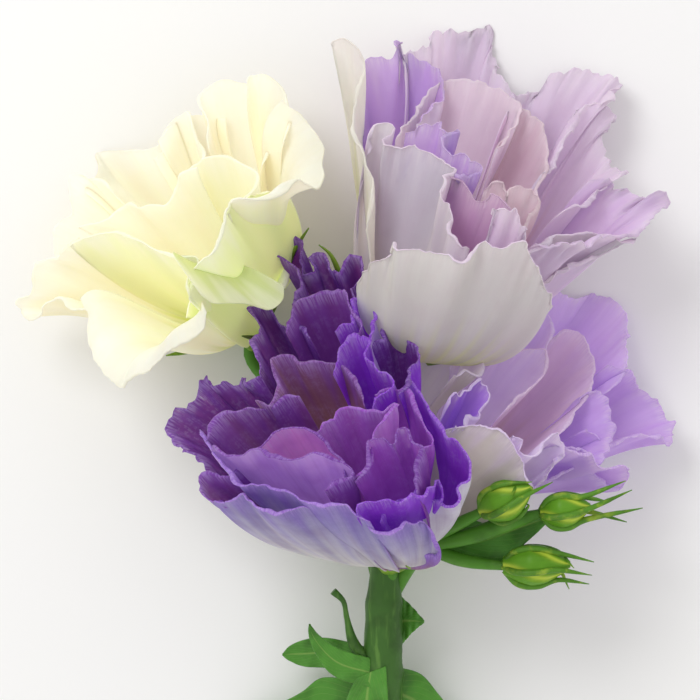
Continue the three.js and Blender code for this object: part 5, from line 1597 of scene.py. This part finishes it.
LAVENDER_PETALS = (
    Petal("back petal", Rise.SPREADING, Tint.LAVENDER, Tint.LAVENDER,
          heights=(22, 12, 4, 0, 0, 3, 8, 14, 20), ruffle=0.7,
          rim=((45, 5), (47.5, 10), (50, 13.8), (52.5, 14), (55.5, 12.8), (58.8, 13.3), (60.5, 14.3),
               (62.5, 13.5), (66.3, 11.8), (68.3, 10), (68.8, 7.5), (68.5, 2.5), (69, 0), (68.8, -5),
               (65, -10))),
    Petal("long petal on the right", Rise.SPREADING, Tint.DUSKY_LAVENDER, Tint.DUSKY_LAVENDER,
          heights=(18, 14, 10, 9, 12, 18, 26, 34), ruffle=0.7,
          rim=((64, -3.8), (68.8, -5), (71.5, -8.8), (72, -10), (75, -11.3), (77.8, -15), (80.5, -18.8),
               (80.8, -20.5), (79.5, -22.5), (76.3, -21.8), (72.5, -21.3), (64.8, -22.5), (59, -20))),
    Petal("petal above the throat", Rise.SPREADING, Tint.SOFT_LAVENDER, Tint.SOFT_LAVENDER,
          heights=(32, 26, 20, 15, 15, 22), ruffle=0.4, reach=1.4,
          rim=((25, -4.5), (30, -1), (35, 1), (41.3, 3.5), (46.3, 8), (48.8, 9.5), (49.5, 6), (49, 0))),
    Petal("inner petal on the right", Rise.INNER, Tint.MAUVE_LAVENDER, Tint.SOFT_LAVENDER,
          heights=(16, 16, 22, 32, 44), ruffle=0.35, reach=1.6,
          rim=((50, 3), (54, 4.5), (57.5, 3.8), (59.5, 0), (60.5, -5), (60, -8.8), (58.3, -12.5),
               (55.5, -16.3), (52.5, -20), (49.5, -22.5))),
    Petal("inner petal over the throat", Rise.INNER, Tint.MAUVE_LAVENDER, Tint.SOFT_LAVENDER,
          heights=(28, 25, 27, 34, 44), ruffle=0.3, reach=1.5,
          rim=((35, -3), (43.8, 0), (48.8, 0), (49.3, -3.8), (47.5, -7.5), (42.5, -12), (38.8, -15))),
    Petal("left wall of the cup", Rise.CUPPED, Tint.SILVER_LILAC, Tint.PEARL_GREY,
          heights=(34, 30, 28, 28, 32, 36, 40), ruffle=0.6,
          rim=((15.5, -14), (15.8, -7.5), (17, -3.5), (19, -2.5), (24, -2.5), (28, -2), (32, -2.5),
               (33.5, -4), (30, -6.5), (26, -6.5))),
    Petal("curl at the left of the throat", Rise.INNER, Tint.SOFT_LAVENDER, Tint.CURL_VIOLET,
          heights=(48, 44, 44, 48, 54),
          rim=((25.5, -13), (25, -10.5), (28.8, -9.3), (32, -7), (34, -10), (34, -13), (32, -17.5),
               (30, -19), (26.3, -18.8))),
    Petal("lower petal on the right", Rise.SPREADING, Tint.DUSKY_LAVENDER, Tint.DUSKY_LAVENDER,
          heights=(28, 28, 30, 36, 42, 48),
          rim=((57, -13.5), (60, -11.3), (62.5, -10.5), (64.5, -15), (65.5, -20), (64.5, -25), (62, -27),
               (60, -26.3), (56.3, -25), (51.8, -23.8))),
    Petal("lowest outer petal, with a turned tab", Rise.STRAIGHT, Tint.DUSKY_LAVENDER, Tint.DUSKY_LAVENDER,
          heights=(52, 46, 40, 34, 32, 36, 40, 46), ruffle=0.6,
          rim=((50, -24), (56.3, -25.5), (60, -26.3), (62.5, -28.8), (65.5, -29.3), (68.8, -28.3),
               (69.3, -31.3), (67.5, -33.8), (64.5, -34.3), (62.5, -32), (60, -30.8), (56.3, -30),
               (50.5, -32.5), (45.8, -35))),
    Petal("frill at the front", Rise.UPRIGHT, Tint.SOFT_LAVENDER, Tint.SOFT_LAVENDER,
          heights=(54, 56, 56, 54, 50, 46), hearts=(Tint.AMBER_HEART, Tint.PEARL_GREY), reach=2.0,
          rim=((39.5, -24), (40.5, -21.8), (42.3, -22), (43.8, -25.3), (47, -24.8), (50.3, -21.8),
               (52.8, -22.8), (53.5, -26), (51, -30), (47, -33))),
    Petal("outer front petal", Rise.CUPPED, Tint.SOFT_LAVENDER, Tint.PEARL_GREY,
          heights=(42, 52, 58, 60, 58, 54, 48), ruffle=0.4,
          rim=((19, -22), (22.5, -21), (26.3, -19.5), (31.3, -19.3), (36.3, -20), (38.8, -21.3),
               (41.3, -24.3), (43, -27.5), (43.8, -31.3), (45, -34.3), (42.5, -36.3))),
)

BLOOMS = (
    Bloom(
        name="violet",
        base=(8.8, -48.8, 27),
        lean=(-16, 29, 40),
        finish=PetalFinish(
            name="violet petal", deepening=(0.68, 0.52, 0.72), vein_share=0.4, mottle=0.4, rim_frost_and_highlight=0.3,
            body_frost=0.1, frost_and_highlight_tint=Tint.FROST_AND_HIGHLIGHT_VIOLET, roughness=0.55, glow=0.45, painted_glow=0.2,
        ),
        slot="violet_petal",
        hearts=(Tint.OLIVE_HEART, Tint.GREY_HEART),
        heart_reach=0.5,
        edge=Tint.VIOLET_EDGE,
        edge_share=0.25,
        lip=0.4,
        ruffles=(1.6, 1.6, 0.85, 0.3, 0.6),
        crease=0.3,
        fray=0.65,
        seed=37,
        lobes=(
            ((4, -50.5, 31), (-2, -50.5, 37), (-8, -49, 43)),
            ((14, -53, 35), (15, -54, 43), (14, -54, 50)),
            ((14, -41, 24), (16, -35, 24), (17.5, -30, 25)),
            ((5, -36, 23), (1, -26, 23), (-3, -16, 24)),
            ((-3, -44, 26), (-12, -39, 29), (-19, -34, 33)),
        ),
        petals=VIOLET_PETALS,
    ),
    Bloom(
        name="pale",
        base=(16.3, 0.5, 20),
        lean=(12.5, 45, 24),
        finish=PetalFinish(
            name="pale lilac petal", deepening=(0.92, 0.84, 0.9), vein_share=0.2, mottle=0.3, rim_frost_and_highlight=0.15,
            body_frost=0.0, frost_and_highlight_tint=Tint.PEARL_EDGE, glow=0.7, painted_glow=0.1,
        ),
        slot="pale_petal",
        hearts=(Tint.ROSE_HEART, Tint.LEAF_HEART),
        heart_reach=0.42,
        edge=Tint.PEARL_EDGE,
        edge_share=0.12,
        lip=0.35,
        ruffles=(1.5, 1.3, 0.75, 0.3, 0.35),
        crease=0.2,
        fray=0.65,
        seed=23,
        lobes=(
            ((9, 3, 20), (3, 10, 24), (-2, 18, 27), (-5, 24, 29), (-7.8, 26.3, 30)),
            ((21, -2.5, 27), (26, -2.5, 34), (31, -1.5, 40)),
            ((13, -4, 27), (12, -3, 36)),
            ((12, 10, 10), (12, 20, 8), (13, 30, 6)),
            ((27, 2, 16), (35, 6, 16), (42, 12, 17)),
        ),
        petals=PALE_PETALS,
    ),
    Bloom(
        name="cream",
        base=(-26, 7, 12),
        lean=(-21, 25.5, 37),
        finish=PetalFinish(
            name="cream petal", deepening=(0.97, 0.96, 0.78), vein_share=0.15, mottle=0.2, rim_frost_and_highlight=0.1,
            body_frost=0.0, frost_and_highlight_tint=Tint.CREAM_EDGE, glow=0.8, painted_glow=0.15,
        ),
        slot="cream_petal",
        hearts=(Tint.LIME_HEART, Tint.LIME_HEART),
        heart_reach=0.42,
        edge=Tint.CREAM_EDGE,
        edge_share=0.3,
        lip=0.4,
        ruffles=(1.3, 0.7, 0.2, 0.05, 0.2),
        crease=0.1,
        fray=0.25,
        seed=11,
        lobes=(
            ((-30, 2.8, 6.5), (-37, 0.8, 7), (-42, -0.6, 8), (-46, -1.4, 9.5)),
            ((-20, 10, 15), (-16.8, 17, 22), (-14.5, 24, 27), (-12, 28, 30), (-10.3, 30.5, 31)),
            ((-22, 3.5, 20), (-24, 3, 30), (-27, 3.5, 36)),
            ((-31, 16, 3), (-34, 24, 2), (-38, 31, 2.5)),
            ((-22, 16, 5), (-22, 26, 6), (-23, 34, 8)),
        ),
        petals=CREAM_PETALS,
    ),
    Bloom(
        name="lavender",
        base=(22.5, -38.8, 10),
        lean=(29, 30, 29),
        finish=PetalFinish(
            name="lavender petal", deepening=(0.85, 0.75, 0.88), vein_share=0.25, mottle=0.3, rim_frost_and_highlight=0.2,
            body_frost=0.0, frost_and_highlight_tint=Tint.PEARL_EDGE, glow=0.65, painted_glow=0.16,
        ),
        slot="lavender_petal",
        hearts=(Tint.AMBER_HEART, Tint.LEAF_HEART),
        heart_reach=0.42,
        edge=Tint.LAVENDER_EDGE,
        edge_share=0.2,
        lip=0.35,
        ruffles=(1.5, 1.3, 0.75, 0.3, 0.35),
        crease=0.2,
        fray=0.65,
        seed=41,
        lobes=(
            ((25, -43.5, 14), (30, -44, 20), (35, -44, 26)),
            ((18, -38, 19), (17, -33, 26), (17, -27, 32)),
            ((32, -37, 6), (40, -33, 6), (48, -28, 8)),
            ((31, -28, 4), (38, -19, 3), (44, -12, 2)),
            ((22, -28, 10), (24, -19, 14), (26, -12, 18)),
        ),
        petals=LAVENDER_PETALS,
    ),
)

BUDS = (
    Bud(
        name="bud_round",
        foot=(33, -40.5, 47),
        tip=(45.5, -34, 55),
        radius=5.2,
        lobe_tips=((45.5, -33, 56), (50.7, -33, 52), (44, -38.5, 52), (38, -33.5, 50), (40, -37, 58)),
    ),
    Bud(
        name="bud_side",
        foot=(47.5, -40.8, 45),
        tip=(60.5, -39, 47),
        radius=4.4,
        lobe_tips=((69, -32.7, 50), (70.5, -35, 47), (73.2, -39.5, 46), (69.2, -43, 44), (65, -38, 42)),
    ),
    Bud(
        name="bud_low",
        foot=(38, -54, 39),
        tip=(55.5, -53.5, 41),
        radius=5.2,
        lobe_tips=((61, -53, 42), (60.5, -56.3, 40), (59.8, -58.5, 38), (54.8, -59.8, 36), (56, -54.5, 45)),
    ),
)

LEAVES = (
    Leaf(
        name="bract",
        left=((18.5, -45, 30), (25, -43, 35), (33, -40.5, 39), (42, -40, 41), (48.5, -41, 42)),
        right=((18.5, -50, 29), (27, -53.5, 32), (35, -54, 36), (43, -49, 40), (49, -43.5, 42)),
    ),
    Leaf(
        name="leaf_left_upper",
        left=((5.6, -84.5, 19.8), (-4, -81.5, 21), (-8.5, -76, 23), (-10.3, -71.5, 24), (-10.3, -68.5, 25)),
        right=((5, -77, 19.8), (-0.5, -75.5, 21), (-4.5, -73.8, 22.5), (-7.5, -71.5, 24), (-10, -68.8, 25)),
    ),
    Leaf(
        name="leaf_left_round",
        left=((7, -80.5, 16), (-6, -79.5, 13), (-12, -79, 12), (-15.5, -77.5, 12), (-17, -76.3, 12)),
        right=((7, -75, 17), (-6, -72, 15), (-11.5, -72.5, 14), (-15, -74, 13), (-16.8, -75.8, 12)),
    ),
    Leaf(
        name="leaf_low_left",
        left=((7, -91, 14), (-8, -99, 7), (-18, -102, 5), (-27, -103, 3.5), (-34, -101, 2.5)),
        right=((7, -84, 15), (-7, -82, 11), (-12, -85.5, 9), (-22, -91, 6), (-33, -100, 2.5)),
    ),
    Leaf(
        name="leaf_right_upper",
        left=((11.5, -60.5, 17), (15.3, -64, 17.5), (18.5, -67.6, 18)),
        right=((11.5, -75.5, 16), (15.2, -71, 17), (18.4, -68.2, 18)),
    ),
    Leaf(
        name="leaf_low_right",
        left=((10, -79, 15), (17.5, -81, 14), (22, -86, 13), (27, -93, 9), (30.5, -103, 4)),
        right=((10, -91, 12), (18, -97, 9), (22, -101, 8), (26, -104, 6), (30, -104, 4)),
    ),
    Leaf(
        name="leaf_front",
        left=((1.5, -82, 20), (-1, -88, 20.5), (-1, -96, 18), (1, -104, 14.5), (4, -109, 12.5)),
        right=((9, -79, 21), (9.5, -88, 20.5), (9.5, -96, 18), (8, -104, 15), (5, -109, 12.5)),
    ),
)

STEMS = Stems(
    main=RodPath(
        (
            (8.8, -54, 20, 3.6), (8.6, -60, 19, 4), (8.4, -68, 18, 4.6), (8.2, -80, 15.5, 4.8),
            (8.4, -106, 10, 4.8), (8, -157, 4.3, 4.8),
        ),
        steps=150,
    ),
    stalks=(
        RodPath(
            (
                (-24, 3.8, 7.5, 1.9), (-24.5, -1.5, 7, 2), (-20, -8, 7, 2), (-9, -24, 9, 2),
                (4, -46, 13.5, 2.2), (7.4, -57, 16, 2.3), (8.2, -67, 17, 2.6),
            )
        ),
        RodPath(
            (
                (15.2, -4.2, 17.5, 1.7), (14.5, -15, 13.5, 1.8), (11.5, -34, 14, 2), (9, -54, 18, 2.6),
                (9, -66, 18, 2.8),
            )
        ),
        RodPath(((19.5, -42, 7, 1.7), (14.5, -48.5, 9, 1.8), (10.6, -57, 14, 2.1), (9, -68, 16.5, 2.6))),
        RodPath(((10.5, -52, 23, 1.9), (9.5, -58, 20.5, 2.2), (9, -66, 18.2, 2.6))),
        RodPath(
            (
                (9.3, -63, 17, 2), (14.2, -54.8, 20.5, 1.9), (21, -47, 36, 1.7), (28, -43, 44, 1.5),
                (33.5, -40.2, 47.3, 1.1),
            )
        ),
        RodPath(((20, -48.5, 34, 1.8), (30, -46.5, 42, 2), (39, -43.5, 44.5, 2), (48, -40.7, 45, 1.1))),
        RodPath(((19, -49, 33, 1.7), (28, -52.5, 37, 1.7), (38.7, -54, 39, 1.1))),
    ),
    stub=RodPath(
        (
            (5.5, -79, 16.5, 1.7), (1, -73.5, 18.5, 1.4), (-0.8, -67, 20, 0.7), (-1.7, -62.8, 21, 0.65),
            (-4.2, -60.3, 21.5, 0.95),
        )
    ),
)


@dataclass(frozen=True)
class Studio:
    """A pale table, a soft light from the upper left, and the eye above the bloom."""

    floor_drop: float = 0.3
    table_half: float = 1.6
    key_watts: float = 3.7
    key_size: float = 0.5
    key_place: tuple[float, float, float] = (-0.42, 0.5, 0.85)
    key_aim: tuple[float, float, float] = (0.0, 0.0, 0.03)
    fill: float = 0.78
    sensor: float = 36.0

    def build(self) -> None:
        """Makes the table, the lights and the camera."""
        self.build_table()
        self.build_lights()
        self.build_eye()

    def place(self, name: str, data: bpy.types.ID) -> bpy.types.Object:
        """Puts a mesh, a light or a camera in the scene.

        Args:
            name: What to call the object.
            data: The mesh, light or camera.

        Returns:
            The new object.
        """
        made = bpy.data.objects.new(name, data)
        bpy.context.scene.collection.objects.link(made)
        return made

    def build_table(self) -> None:
        """Makes the pale table that the spray lies on."""
        mesh = bpy.data.meshes.new("table")
        half, z = self.table_half, -self.floor_drop * MM
        corners = [(-half, -half, z), (half, -half, z), (half, half, z), (-half, half, z)]
        mesh.from_pydata(corners, [], [(0, 1, 2, 3)])
        palette = Palette("pale table")
        palette.cover(Base_Color=(0.94, 0.94, 0.94, 1.0), Roughness=0.9, Specular_IOR_Level=0.1)
        mesh.materials.append(palette.material)
        self.place("table", mesh)

    def build_lights(self) -> None:
        """Makes the soft room and the key light, and shows colours as they are."""
        world = bpy.data.worlds.new("soft room")
        world.use_nodes = True
        sky = world.node_tree.nodes["Background"]
        sky.inputs["Color"].default_value = (1.0, 0.99, 0.97, 1.0)
        sky.inputs["Strength"].default_value = self.fill
        bpy.context.scene.world = world
        bpy.context.scene.view_settings.view_transform = "Standard"
        key = bpy.data.lights.new("key", "AREA")
        key.shape = "DISK"
        key.size = self.key_size
        key.energy = self.key_watts
        lamp = self.place("key", key)
        lamp.location = self.key_place
        aim = np.array(self.key_aim) - np.array(lamp.location)
        lean = math.acos(-aim[2] / float(np.linalg.norm(aim)))
        lamp.rotation_euler = (lean, 0.0, math.atan2(aim[1], aim[0]) - math.pi / 2)

    def build_eye(self) -> None:
        """Makes the camera, straight above the blooms."""
        lens = bpy.data.cameras.new("eye")
        lens.sensor_width = self.sensor
        lens.lens = self.sensor * EYE_HEIGHT / SEEN_WIDTH
        lens.clip_start = 0.05
        lens.clip_end = 10.0
        eye = self.place("eye", lens)
        eye.location = (-ORIGIN[0] * MM, -ORIGIN[1] * MM, EYE_HEIGHT * MM)
        bpy.context.scene.camera = eye


def main() -> None:
    """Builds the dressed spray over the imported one, piece by piece."""
    logging.basicConfig(level=logging.INFO, format="%(name)s: %(message)s")
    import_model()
    grower = RodGrower()
    calyx = GreenFinish("calyx skin", Tint.CALYX_GREEN, Tint.LOBE_GREEN, (420.0, 420.0, 420.0)).material()
    lobe_skin, stem_skin, stalk_skin = (
        GreenFinish(name, base, streak, scale, share).material()
        for name, base, streak, scale, share in (
            ("lobe skin", Tint.LOBE_GREEN, Tint.BUD_STRIPE, (300.0, 300.0, 300.0), 0.5),
            ("stem skin", Tint.STEM_GREEN, Tint.STEM_STREAK, (500.0, 40.0, 500.0), 0.6),
            ("stalk skin", Tint.STALK_GREEN, Tint.STEM_STREAK, (150.0, 150.0, 150.0), 0.5),
        )
    )
    leaf_skin = LeafFinish("leaf skin", Tint.LEAF_GREEN, Tint.LEAF_RIB).material()
    bud_skin = PetalFinish(
        name="bud skin", deepening=(0.7, 0.75, 0.5), vein_share=0.4, mottle=0.5, rim_frost_and_highlight=0.0, body_frost=0.0,
        frost_and_highlight_tint=Tint.BUD_STRIPE, roughness=0.42, glow=0.15,
    ).material()
    for bloom in BLOOMS:
        dress(bloom.build_petals(), bloom.finish.material(), bloom.slot, f"{bloom.name}_bloom")
        for piece in bloom.build_calyx(grower, calyx):
            dress(piece, calyx, "calyx", f"{bloom.name}_calyx")
    for bud in BUDS:
        dress(bud.build_body(), bud_skin, "bud", bud.name)
        dress(bud.build_lobes(grower, lobe_skin), lobe_skin, "bud", bud.name)
    for leaf in LEAVES:
        dress(leaf.build(Tint.LEAF_GREEN), leaf_skin, "leaf", leaf.name)
    stem = grower.grow("main_stem", [STEMS.main_line()], stem_skin, sides=36, relief=0.35, grain=260.0)
    dress(stem, stem_skin, "stem", "stems")
    stalks = grower.grow("stalks", [path.line() for path in STEMS.stalks], stalk_skin, sides=20, relief=0.2)
    dress(stalks, stalk_skin, "stem", "stems")
    dress(STEMS.build_cut_face(), calyx, "stem", "stems")
    stub = grower.grow("side_shoot_stub", [STEMS.stub.line()], stem_skin, sides=16, relief=0.15)
    dress(stub, stem_skin, "stem", "stub")
    Studio().build()
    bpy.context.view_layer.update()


if __name__ == "__main__":
    main()
